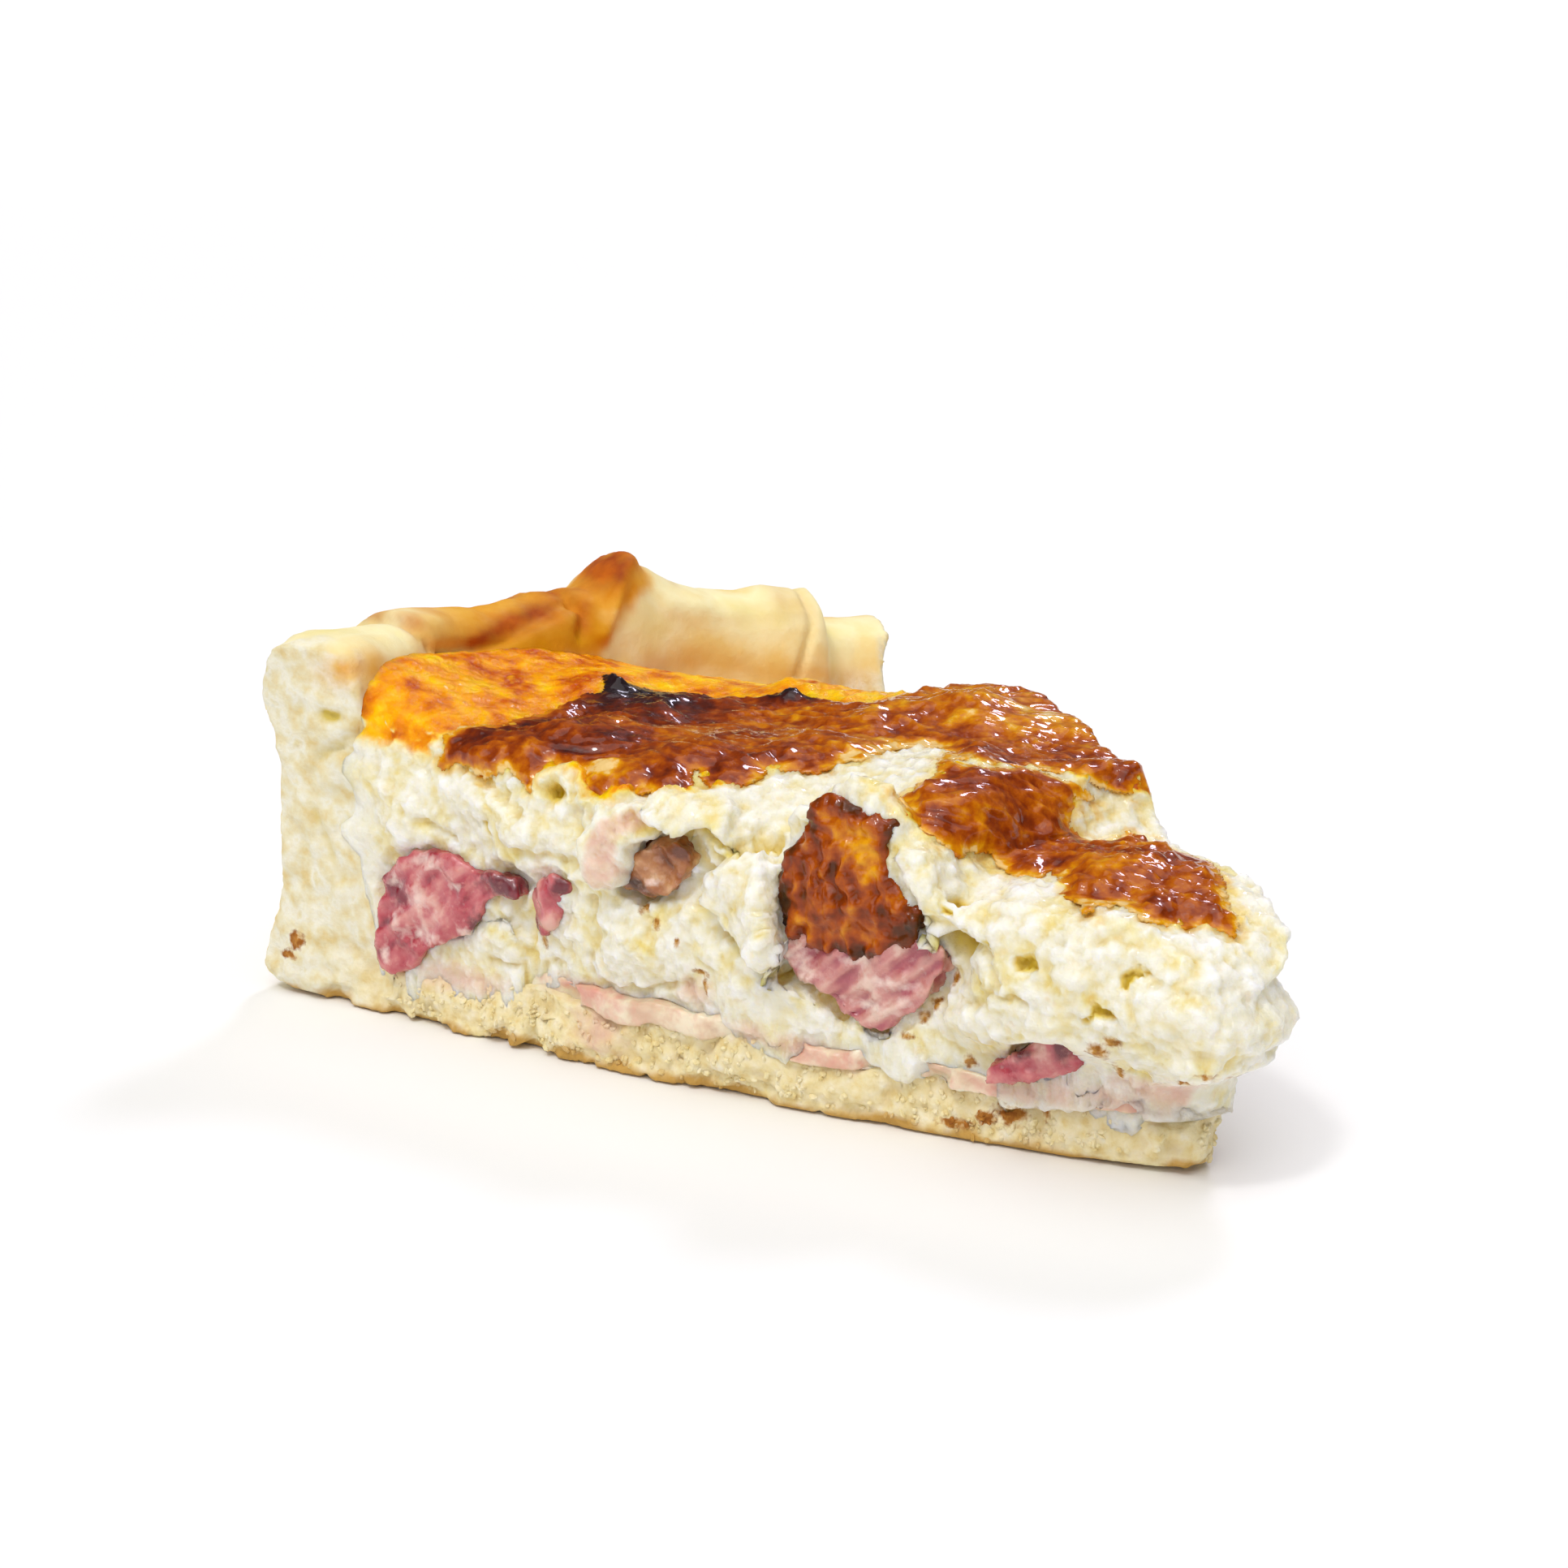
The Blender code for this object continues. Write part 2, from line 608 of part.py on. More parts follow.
def shaped(name, cuts, place, material, collection):
    """An object whose sliced block is carried into place by a function."""
    block = sliced_block(cuts)
    tip = Vector((TIP_X, TIP_Y, 0.0))
    for vertex in block.verts:
        shares = (min(max(round(value, 5), 0.0), 1.0) for value in vertex.co)
        vertex.co = (place(*shares) + tip) * MM
    if block.calc_volume(signed=True) < 0:
        bmesh.ops.reverse_faces(block, faces=block.faces[:])
    mesh = bpy.data.meshes.new(name)
    block.to_mesh(mesh)
    block.free()
    mesh.materials.append(material)
    mesh.shade_smooth()
    made = bpy.data.objects.new(name, mesh)
    collection.objects.link(made)
    return made


def flatten_underside(base):
    """Makes the flat faces under the base one face."""
    mesh = bmesh.new()
    mesh.from_mesh(base.data)
    under = [face for face in mesh.faces if all(abs(vertex.co.z) < 1e-6 for vertex in face.verts)]
    edges = [edge for face in under for edge in face.edges]
    bmesh.ops.dissolve_limit(mesh, angle_limit=0.01, verts=[], edges=list(set(edges)))
    mesh.to_mesh(base.data)
    mesh.free()


def make_pastry(collection):
    along = even(BASE_CELLS + WALL_CELLS)
    pastry = paint("baked shortcrust", (0.78, 0.58, 0.27), 0.75)
    cuts = (along, across_cuts(), even(PASTRY_THROUGH))
    base = shaped("pastry_shell", cuts, pastry_point, pastry, collection)
    flatten_underside(base)


def make_custard(collection):
    along, up = CUSTARD_CELLS
    cream = paint("set custard", (0.87, 0.84, 0.61), 0.45)
    return shaped("custard_filling", (even(along), across_cuts(), even(up)), custard_point, cream, collection)


def make_ham_layer(collection):
    pale_ham = paint("pale boiled ham", (0.72, 0.42, 0.34), 0.5)
    cuts = (even(LAYER_CELLS), even(ACROSS_CELLS // 2), even(1))
    shaped("ham_layer", cuts, ham_layer_point, pale_ham, collection)


def make_pieces(collection, cutters):
    """Ham, lardon and torn skin, each with a cutter for its pocket in the custard."""
    ham = paint("cooked ham", (0.62, 0.20, 0.19), 0.4)
    lardon = paint("browned bacon", (0.42, 0.18, 0.08), 0.45)
    skin = paint("browned custard skin", (0.45, 0.15, 0.02), 0.3)
    pieces = [(name, -1, stations, PIECE_DEPTH, PIECE_PROUD) for name, stations in NEAR_PIECES.items()]
    pieces += [(name, 1, stations, PIECE_DEPTH, PIECE_PROUD) for name, stations in FAR_PIECES.items()]
    pieces += [("torn_browned_skin", -1, TORN_SKIN, TORN_SKIN_DEPTH, TORN_SKIN_PROUD)]
    cells = tuple(even(count) for count in PIECE_CELLS)
    for name, side, stations, depth, proud in pieces:
        look = {"browned_lardon": lardon, "torn_browned_skin": skin}.get(name, ham)
        shaped(name, cells, piece_placer(stations, side, depth, proud), look, collection)
        pocket = piece_placer(stations, side, depth, proud, POCKET_GAP, CUTTER_REACH)
        cutter = shaped("pocket_" + name, cells, pocket, look, cutters)
        cutter.hide_render = True
        cutter.display_type = "WIRE"


def cut_pockets(custard, cutters):
    pockets = custard.modifiers.new("pockets", "BOOLEAN")
    pockets.operation = "DIFFERENCE"
    pockets.operand_type = "COLLECTION"
    pockets.collection = cutters


def new_collection(name):
    collection = bpy.data.collections.new(name)
    bpy.context.scene.collection.children.link(collection)
    return collection


def main():
    for leftover in list(bpy.data.objects):
        bpy.data.objects.remove(leftover, do_unlink=True)
    quiche = new_collection("quiche slice")
    cutters = new_collection("pocket cutters")
    make_pastry(quiche)
    make_ham_layer(quiche)
    custard = make_custard(quiche)
    make_pieces(quiche, cutters)
    cut_pockets(custard, cutters)


main()
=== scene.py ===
# %% [markdown]
# # A slice of ham and bacon quiche
#
# An eighth of a tart lies on its pastry base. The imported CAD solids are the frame: they fix where the
# pastry, the custard and each piece of ham are, and this script grows a finely detailed piece round each of
# them. The units in the tables are millimetres, because kitchen things are easier to judge that way, and
# they become metres only when a mesh is written.

import math

import bmesh
import bpy
import numpy as np
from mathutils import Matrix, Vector, noise


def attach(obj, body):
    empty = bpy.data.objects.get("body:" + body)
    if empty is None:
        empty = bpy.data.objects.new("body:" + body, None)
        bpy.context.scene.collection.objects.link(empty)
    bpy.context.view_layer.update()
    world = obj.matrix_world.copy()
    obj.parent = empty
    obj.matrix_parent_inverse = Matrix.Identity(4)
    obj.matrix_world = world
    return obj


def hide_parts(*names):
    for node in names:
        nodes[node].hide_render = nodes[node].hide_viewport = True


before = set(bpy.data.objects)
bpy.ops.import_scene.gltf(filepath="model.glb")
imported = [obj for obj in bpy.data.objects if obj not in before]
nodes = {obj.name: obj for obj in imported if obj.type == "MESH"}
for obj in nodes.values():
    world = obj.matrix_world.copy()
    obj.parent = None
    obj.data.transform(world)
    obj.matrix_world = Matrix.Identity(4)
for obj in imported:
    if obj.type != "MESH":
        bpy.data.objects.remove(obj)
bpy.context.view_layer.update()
MM = 0.001
print("frame:", sorted(nodes))

# %% [markdown]
# ## Finding a place on the slice
#
# The two cuts meet above the tip at 45 degrees. A point on the near cut is easiest to name by how far it is
# from the tip along the cut and how high it is, as a cook would measure it with a ruler. On the browned top
# the second number is how far in from the near edge the point is, and the same number goes below zero down
# the cut face, so one pair of numbers names any place that the browned skin can reach.

# %% Places on the slice
TIP = np.array([59.15, 0.1, 0.0])
HALF_ANGLE = math.radians(22.5)
NEAR, FAR = -1, 1
TOP_LEVEL = 34.0
CUT_LENGTH = 115.0
MOST_BELLY = 4.2


def along(side):
    return np.array([-math.cos(HALF_ANGLE), side * math.sin(HALF_ANGLE), 0.0])


def outward(side):
    return np.array([math.sin(HALF_ANGLE), side * math.cos(HALF_ANGLE), 0.0])


def belly(distance):
    """How far the soft near cut bulges beyond a straight one."""
    return MOST_BELLY * (1 - np.clip(distance / CUT_LENGTH, 0, 1) ** 3)


def on_cut(points, side):
    """Distance from the tip along this cut, and how far the point is inside the cut's plane."""
    local = points - TIP
    return local @ along(side), -(local @ outward(side))


def on_skin(points):
    """Distance along the near cut, and distance in from the top edge of the near face."""
    distance, depth = on_cut(points, NEAR)
    return distance, depth + belly(distance) + points[:, 2] - TOP_LEVEL


def polar(points):
    """Distance from the tip, and the angle from the middle of the slice in degrees."""
    local = points - TIP
    return np.hypot(local[:, 0], local[:, 1]), np.degrees(np.arctan2(local[:, 1], -local[:, 0]))


def cut_depths(points):
    """How far each point is inside the near cut, which bulges, and inside the far cut."""
    distance, depth = on_cut(points, NEAR)
    return depth + belly(distance), on_cut(points, FAR)[1]


def away_from_tip(points):
    """The level direction from the tip to each point, of length one."""
    local = (points - TIP) * np.array([1.0, 1.0, 0.0])
    return local / np.hypot(local[:, 0], local[:, 1])[:, None]


def ramp(start, end, value):
    """Rises softly from 0 to 1 while the value goes from start to end."""
    share = np.clip((value - start) / (end - start), 0, 1)
    return share * share * (3 - 2 * share)


def bump(distance, width):
    """One in the middle and nearly nothing beyond twice the width."""
    return np.exp(-((distance / width) ** 2))


def rough(points, size, octaves=1, shift=0.0):
    """Smooth noise of about -1 to 1 whose lumps are this many millimetres across."""
    places = points / size + shift
    return np.array([noise.fractal(Vector(p), 1.0, 2.0, octaves) for p in places]) * 1.4


def follow(table, places):
    """Reads a table of (place, value) rows between its rows."""
    stops = np.array(table)
    return np.interp(places, stops[:, 0], stops[:, 1])


def edge_distance(first, second, outline):
    """How far inside (positive) or outside (negative) a closed outline each pair of numbers lies."""
    nearest = np.full(len(first), 1e9)
    within = np.zeros(len(first), bool)
    for (ax, ay), (bx, by) in zip(outline, outline[1:] + outline[:1]):
        dx, dy = bx - ax, by - ay
        share = np.clip(((first - ax) * dx + (second - ay) * dy) / (dx * dx + dy * dy), 0, 1)
        nearest = np.minimum(nearest, np.hypot(first - ax - share * dx, second - ay - share * dy))
        crosses = (ay > second) != (by > second)
        if dy != 0:
            within ^= crosses & (first < ax + dx * (second - ay) / dy)
    return np.where(within, nearest, -nearest)

# %% [markdown]
# ## Tools for meshes
#
# Soft food has no flat faces, so each piece starts as a closed skin of small squares that Blender's voxel
# remesher wraps round a copy of the CAD solid. The squares are about a third to half a millimetre, which is
# fine enough for curds and crumbs. Smoothing takes the CAD facets out, and the relief goes on after that.

# %% Mesh helpers
def points_of(mesh):
    values = np.empty(len(mesh.vertices) * 3, np.float32)
    mesh.vertices.foreach_get("co", values)
    return values.reshape(-1, 3).astype(float) / MM


def normals_of(mesh):
    values = np.empty(len(mesh.vertices) * 3, np.float32)
    mesh.vertex_normals.foreach_get("vector", values)
    return values.reshape(-1, 3).astype(float)


def move(mesh, points):
    mesh.vertices.foreach_set("co", (points * MM).astype(np.float32).ravel())
    mesh.update()


def remember(mesh, name, values):
    """Keeps one number a vertex under this name, for the relief and the materials."""
    kept = mesh.attributes.get(name) or mesh.attributes.new(name, "FLOAT", "POINT")
    kept.data.foreach_set("value", np.asarray(values, np.float32))


def recall(mesh, name):
    values = np.empty(len(mesh.vertices), np.float32)
    mesh.attributes[name].data.foreach_get("value", values)
    return values.astype(float)


def welded(mesh):
    """A copy whose faces share their corners, so that swelling it keeps it whole."""
    build = bmesh.new()
    build.from_mesh(mesh)
    bmesh.ops.remove_doubles(build, verts=build.verts, dist=0.001 * MM)
    copy = bpy.data.meshes.new(mesh.name + "_copy")
    build.to_mesh(copy)
    build.free()
    return copy


def new_object(name, mesh):
    thing = bpy.data.objects.new(name, mesh)
    bpy.context.scene.collection.objects.link(thing)
    return thing


def bake(thing):
    """Applies the object's modifiers and leaves a plain mesh."""
    graph = bpy.context.evaluated_depsgraph_get()
    mesh = bpy.data.meshes.new_from_object(thing.evaluated_get(graph), depsgraph=graph)
    mesh.name = thing.name
    thing.modifiers.clear()
    thing.data = mesh
    return thing


def wrapped(name, meshes, voxel, rounds):
    """One closed, smoothed skin of squares this big, in millimetres, round all the meshes."""
    build = bmesh.new()
    for mesh in meshes:
        build.from_mesh(mesh)
    mesh = bpy.data.meshes.new(name)
    build.to_mesh(mesh)
    build.free()
    thing = new_object(name, mesh)
    remesh = thing.modifiers.new("squares", "REMESH")
    remesh.mode = "VOXEL"
    remesh.voxel_size = voxel * MM
    smooth = thing.modifiers.new("no facets", "SMOOTH")
    smooth.factor = 0.5
    smooth.iterations = rounds
    bake(thing)
    thing.data.shade_smooth()
    print(name, len(thing.data.vertices), "vertices")
    return thing

# %% [markdown]
# ## Relief by geometry nodes
#
# Curds, crumb and meat fibres are all the same rule: push each point of a surface along its normal by a
# texture. A geometry node tree holds that rule once, with its sizes and depths as named inputs, and each
# food sets its own numbers. The tree also keeps how far it pushed, so that hollows can be painted darker
# than lumps as painted shade.

# %% Node helpers
def add_node(tree, kind, links=(), stops=None, **settings):
    """Adds a node, sets its settings, and feeds each (input, source or value)."""
    made = tree.nodes.new(kind)
    for key, value in settings.items():
        setattr(made, key, value)
    for key, source in links:
        if isinstance(source, bpy.types.NodeSocket):
            tree.links.new(source, made.inputs[key])
        else:
            made.inputs[key].default_value = source
    if stops:
        elements = made.color_ramp.elements
        while len(elements) < len(stops):
            elements.new(1.0)
        for element, (place, colour) in zip(elements, stops):
            element.position = place
            element.color = colour
    return made


def maths(tree, operation, first, second):
    """A node that does one sum with two numbers."""
    return add_node(tree, "ShaderNodeMath", [(0, first), (1, second)], operation=operation).outputs[0]


def kept_number(tree, name):
    """A node that reads a number kept on the vertices."""
    links = [("Name", name)]
    return add_node(tree, "GeometryNodeInputNamedAttribute", links, data_type="FLOAT").outputs[0]


def new_tree(name, numbers):
    """An empty geometry node tree: a geometry goes in and out, and these named numbers go in."""
    tree = bpy.data.node_groups.new(name, "GeometryNodeTree")
    face = tree.interface
    face.new_socket("Geometry", in_out="INPUT", socket_type="NodeSocketGeometry")
    for key, value in numbers:
        face.new_socket(key, in_out="INPUT", socket_type="NodeSocketFloat").default_value = value
    face.new_socket("Geometry", in_out="OUTPUT", socket_type="NodeSocketGeometry")
    return tree

# %% [markdown]
# The tree adds three textures: broad lumps, cells with soft walls for curds, and a fine grain. A slow swirl
# bends the cells first, because curds are never a neat grid. Sizes are in millimetres, so each is turned
# into a scale.

# %% Relief tree
SWIRL_SIZE = 4.0


def relief_tree():
    numbers = (
        ("Lump size", 6.0), ("Lump depth", 0.5), ("Curd size", 3.0), ("Curd depth", 0.3),
        ("Grain size", 1.0), ("Grain depth", 0.1), ("Warp", 0.0), ("Seed", 1.0),
    )
    tree = new_tree("food relief", numbers)
    given = add_node(tree, "NodeGroupInput").outputs
    place = add_node(tree, "GeometryNodeInputPosition").outputs[0]
    where = kept_number(tree, "amount")

    def over(value):
        per_metre = maths(tree, "MULTIPLY", value, MM)
        return maths(tree, "DIVIDE", 1.0, per_metre)

    def times(first, second):
        return maths(tree, "MULTIPLY", first, second)

    def plus(first, second):
        return maths(tree, "ADD", first, second)

    def texture(kind, where, scale, *more, **settings):
        links = [("Vector", where), ("W", given["Seed"]), ("Scale", scale), *more]
        return add_node(tree, kind, links, **settings).outputs

    def vector(operation, first, key, second):
        links = [(0, first), (key, second)]
        return add_node(tree, "ShaderNodeVectorMath", links, operation=operation).outputs[0]

    swirl = texture(
        "ShaderNodeTexNoise", place, 1 / (SWIRL_SIZE * MM), ("Detail", 1.0), noise_dimensions="4D"
    )["Color"]
    swirl = vector("SUBTRACT", swirl, 1, (0.5, 0.5, 0.5))
    swirl = vector("SCALE", swirl, "Scale", times(given["Warp"], 2 * MM))
    warped = vector("ADD", place, 1, swirl)
    lump = texture(
        "ShaderNodeTexNoise", place, over(given["Lump size"]), ("Detail", 2.0), noise_dimensions="4D"
    )[0]
    curd = texture(
        "ShaderNodeTexVoronoi", warped, over(given["Curd size"]), ("Smoothness", 0.35),
        voronoi_dimensions="4D", feature="SMOOTH_F1",
    )["Distance"]
    grain = texture(
        "ShaderNodeTexNoise", place, over(given["Grain size"]), ("Detail", 3.0), ("Roughness", 0.6),
        noise_dimensions="4D",
    )[0]
    push = times(plus(lump, -0.5), times(given["Lump depth"], 2.0))
    push = plus(push, times(plus(curd, -0.45), times(given["Curd depth"], -2.0)))
    push = plus(push, times(plus(grain, -0.5), times(given["Grain depth"], 2.0)))
    push = times(push, where)
    normal = add_node(tree, "GeometryNodeInputNormal").outputs[0]
    offset = vector("SCALE", normal, "Scale", times(push, MM))
    kept = add_node(
        tree, "GeometryNodeStoreNamedAttribute",
        [("Geometry", given["Geometry"]), ("Name", "relief"), ("Value", push)],
        data_type="FLOAT", domain="POINT",
    )
    moved = add_node(tree, "GeometryNodeSetPosition", [("Geometry", kept.outputs[0]), ("Offset", offset)])
    add_node(tree, "NodeGroupOutput", [("Geometry", moved.outputs[0])])
    return tree


RELIEF = relief_tree()


def set_inputs(modifier, **values):
    """Sets a geometry node tree's inputs by their names, with _ for a space."""
    for item in modifier.node_group.interface.items_tree:
        key = item.name.replace(" ", "_")
        if item.in_out == "INPUT" and key in values:
            modifier[item.identifier] = values[key]


def add_relief(thing, amount, **values):
    """Pushes the surface in and out by the relief tree, by this share at each vertex."""
    remember(thing.data, "amount", amount)
    modifier = thing.modifiers.new("relief", "NODES")
    modifier.node_group = RELIEF
    set_inputs(modifier, **values)
    bake(thing)

# %% [markdown]
# ## Where the oven browned the top
#
# Two outlines, read off the slice, say where the top has kept its browned skin: the main sheet, and a
# second one that tore off and folded forward. Everything that touches the skin asks the same function how
# far inside it is.

# %% Skin outlines
MAIN_SHEET = [
    (93.8, -2.4), (91.0, -2.9), (88.0, -2.9), (85.4, -3.2), (83.8, -1.9), (83.2, -2.0), (81.9, -3.1),
    (80.6, -4.7), (79.9, -4.9), (79.2, -3.4), (78.4, -0.8), (77.2, 0.6), (74.6, -0.6), (73.4, -3.1),
    (72.5, -4.1), (71.4, -4.7), (69.6, -4.7), (68.7, -3.5), (67.0, -2.7), (65.4, -2.1), (63.8, -2.0),
    (62.2, -0.9), (61.3, -0.6), (61.4, 1.4), (62.6, 4.4), (62.0, 3.6), (60.6, 2.0), (58.9, 2.7),
    (57.1, 4.3), (56.5, 6.6), (56.0, 8.8), (55.1, 9.8), (53.5, 10.0), (51.3, 10.0), (50.8, 11.4),
    (50.3, 12.9), (49.5, 14.6), (47.8, 15.8), (47.2, 18.9), (47.0, 21.6), (46.4, 23.6), (44.7, 24.2),
    (42.6, 23.8), (40.6, 22.4), (38.5, 19.7), (36.3, 17.6), (34.4, 17.0), (32.9, 19.0), (31.6, 21.2),
    (30.2, 22.2), (28.2, 21.8), (26.4, 21.2), (24.4, 22.4), (22.4, 22.8), (20.5, 24.5), (20.0, 40.0),
    (60.0, 80.0), (100.0, 110.0), (120.0, 60.0), (100.0, 8.0), (93.0, 6.0),
]
FOLDED_SHEET = [
    (40.2, 21.4), (38.7, 14.1), (37.6, 11.7), (38.3, 9.1), (38.7, 6.1), (37.4, 3.5), (36.3, 0.0),
    (34.1, -1.4), (33.1, -1.0), (32.0, -1.4), (30.9, 0.2), (29.4, 1.8), (27.9, 0.1), (26.4, -0.5),
    (24.1, -1.4), (22.9, 1.0), (20.8, -1.7), (18.5, -4.9), (15.9, -8.6), (14.7, -9.8), (14.3, -8.4),
    (13.6, -6.0), (12.4, -5.2), (10.4, -6.9), (8.7, -7.9), (6.9, -6.7), (5.2, -5.3), (3.5, -4.8),
    (2.4, -4.7), (3.1, -1.7), (5.3, 2.9), (8.0, 8.3), (9.7, 10.4), (13.7, 13.1), (17.2, 14.8), (19.2, 16.8),
    (20.8, 16.9), (21.9, 13.7), (23.7, 12.7), (25.2, 13.8), (25.9, 14.1), (25.2, 18.4), (24.6, 20.6),
    (26.4, 20.4), (28.4, 21.0), (30.0, 21.2), (31.0, 20.2), (32.2, 17.8), (34.2, 15.8), (36.5, 16.5),
    (38.5, 18.6),
]
# how far from the tip the brown skin reaches towards the rim, at angles from near to far
RIMWARD = (
    (-22.5, 95.5), (-20.5, 93.0), (-18.5, 90.5), (-15.0, 90.0), (-11.0, 90.5), (-8.7, 89.5), (-7.0, 92.0),
    (-4.3, 90.0), (-2.6, 87.0), (-1.6, 83.5), (0.0, 81.0), (1.5, 77.5), (3.2, 76.5), (4.2, 71.0),
    (5.0, 66.5), (7.3, 65.5), (10.2, 66.5), (15.9, 71.0), (22.5, 80.0),
)


def skin_distance(points, normals):
    """How far inside the browned skin's ragged edge each point lies, in millimetres."""
    first, second = on_skin(points)
    ragged = 0.75 * rough(points, 3.2, 3) + 0.25 * rough(points, 0.9, 2, 7.0)
    inside = np.maximum(
        edge_distance(first, second, MAIN_SHEET), edge_distance(first, second, FOLDED_SHEET)
    )
    reach, angle = polar(points)
    inside = np.minimum(inside, follow(RIMWARD, angle) - reach)
    far_distance, far_side = on_cut(points, FAR)
    below = np.interp(far_distance, *FAR_TOP) - points[:, 2]
    over_edge = np.minimum(5.0 * (normals[:, 2] - 0.38), 4.0 - below)
    sideways = ramp(9.0, 5.0, far_side)
    return np.minimum(inside, np.where(sideways > 0.5, over_edge, 99.0)) + ragged

# %% [markdown]
# ## The custard
#
# The filling is set egg and cream: it tears into soft curds where the knife dragged through it. The ham
# pieces sit in pockets of the CAD solid with a thin gap round them. Real custard hugs them, so each pocket
# is filled first by a swollen copy of its piece, pushed a little into the cut, and the remesher melts the
# lot into one mass.

# %% Pastry body and its foot round the tip
pastry = wrapped("shortcrust_shell", [nodes["pastry_shell"].data], voxel=0.5, rounds=8)
FOOT_CENTRE = TIP - np.array([24.0, 0.0, 0.0])


def foot_outline():
    """How far the pastry's edge is from a place inside the slice, at bearings round the tip."""
    points = points_of(pastry.data)
    low = points[(points[:, 2] > 1.5) & (points[:, 2] < 4.5)] - FOOT_CENTRE
    away, bearing = np.hypot(low[:, 0], low[:, 1]), np.degrees(np.arctan2(low[:, 1], low[:, 0]))
    steps = np.arange(-130.0, 131.0, 4.0)
    return steps, np.array([away[np.abs(bearing - step) < 3.0].max() for step in steps])


FOOT = foot_outline()
print("foot reaches", FOOT[1].round(1).max(), "mm from its centre")


def tucked(points, top, level, spare):
    """Draws a soft body's foot in to the pastry's edge round the tip, so that it doesn't hang over it."""
    local = points - FOOT_CENTRE
    away, bearing = np.hypot(local[:, 0], local[:, 1]), np.degrees(np.arctan2(local[:, 1], local[:, 0]))
    over = np.maximum(away - np.interp(bearing, *FOOT) - spare, 0)
    share = 0.85 * ramp(top, level, points[:, 2]) * ramp(125.0, 100.0, np.abs(bearing))
    local[:, :2] *= (1 - share * over / np.maximum(away, 1.0))[:, None]
    return local + FOOT_CENTRE

# %% [markdown]
# A plug is a copy of a piece of meat, swollen by a little more than the gap round it. It sits a little
# deeper than the piece, so that the piece keeps standing proud of the custard. The ham layer and the flap
# get one each too.

# %% Plugs for the pockets
NEAR_PIECES = ("ham_near_rim", "ham_near_sliver", "browned_lardon", "ham_near_middle", "ham_near_tip")
FAR_PIECES = ("ham_far_rim", "ham_far_middle", "ham_far_tip")


def plug(name, side, swell, sink):
    """A copy of a piece swollen to fill its pocket, and pushed a little into the cut."""
    mesh = welded(nodes[name].data)
    move(mesh, points_of(mesh) + normals_of(mesh) * swell - outward(side) * sink)
    return mesh


PLUG_SWELL, PLUG_SINK, FLAP_SINK = 1.5, 1.7, 3.0
plugs = [plug(name, NEAR, PLUG_SWELL, PLUG_SINK) for name in NEAR_PIECES]
plugs += [plug(name, FAR, PLUG_SWELL, PLUG_SINK) for name in FAR_PIECES]
plugs.append(plug("torn_browned_skin", NEAR, PLUG_SWELL, FLAP_SINK))


def layer_plug():
    """The ham layer drawn back from both cuts, so that no light shows between it and the custard."""
    mesh = welded(nodes["ham_layer"].data)
    points = points_of(mesh)
    near_depth, far_depth = cut_depths(points)
    back = 2.2 * ramp(4.0, 16.0, polar(points)[0])
    points -= outward(NEAR) * (back * ramp(6.0, 2.0, near_depth))[:, None]
    points -= outward(FAR) * (back * ramp(6.0, 2.0, far_depth))[:, None]
    points[:, 2] += 0.7 * np.sign(normals_of(mesh)[:, 2])
    move(mesh, points)
    return mesh


plugs.append(layer_plug())
print("plugs", len(plugs))

# %% [markdown]
# Many shapes on a cut are easiest to draw as an outline on the cut face. A slab gives such an outline a
# front and a back, so that it is solid and the remesher can melt it into its neighbours.

# %% Custard body
def cut_slab(outline, side, inner, outer):
    """A slab with this outline standing across a cut, between two distances out from the cut."""
    build = bmesh.new()
    rows = []
    for out in (inner, outer):
        row = []
        for first, height in outline:
            bow = belly(first) if side == NEAR else 0.0
            place = TIP + along(side) * first + outward(side) * (bow + out) + np.array([0, 0, height])
            row.append(build.verts.new(place * MM))
        rows.append(row)
    build.faces.new(rows[1])
    build.faces.new(rows[0][::-1])
    for k in range(len(outline)):
        j = (k + 1) % len(outline)
        build.faces.new((rows[0][k], rows[0][j], rows[1][j], rows[1][k]))
    bmesh.ops.recalc_face_normals(build, faces=build.faces)
    mesh = bpy.data.meshes.new("slab")
    build.to_mesh(mesh)
    build.free()
    return mesh


# beside the large piece of ham, curd hangs over the ham layer and reaches the pastry
CURD_BY_THE_HAM = [
    (100.4, 6.8), (97.0, 5.6), (93.0, 5.9), (89.0, 5.2), (84.0, 5.0), (82.0, 9.0), (84.0, 13.2), (88.5, 13.0),
    (91.0, 11.0), (95.0, 9.6), (98.5, 8.4),
]
plugs.append(cut_slab(CURD_BY_THE_HAM, NEAR, inner=-7.0, outer=-0.6))
custard = wrapped("custard_filling_soft", [nodes["custard_filling"].data] + plugs, voxel=0.42, rounds=8)


def top_along_far_cut():
    """Height of the browned top at steps along the far cut."""
    points = points_of(custard.data)
    distance, depth = on_cut(points, FAR)
    steps = np.arange(-2.0, 102.0, 2.0)
    near_it = [(depth < 5.0) & (np.abs(distance - step) < 1.5) for step in steps]
    return steps, np.array([points[some, 2].max() for some in near_it])


FAR_TOP = top_along_far_cut()

# %% [markdown]
# Part of the custard can't be seen, because it lies against the wall or on the ham layer. There, fewer and
# larger triangles do the same work, so a Decimate modifier thins only the vertices of that group.

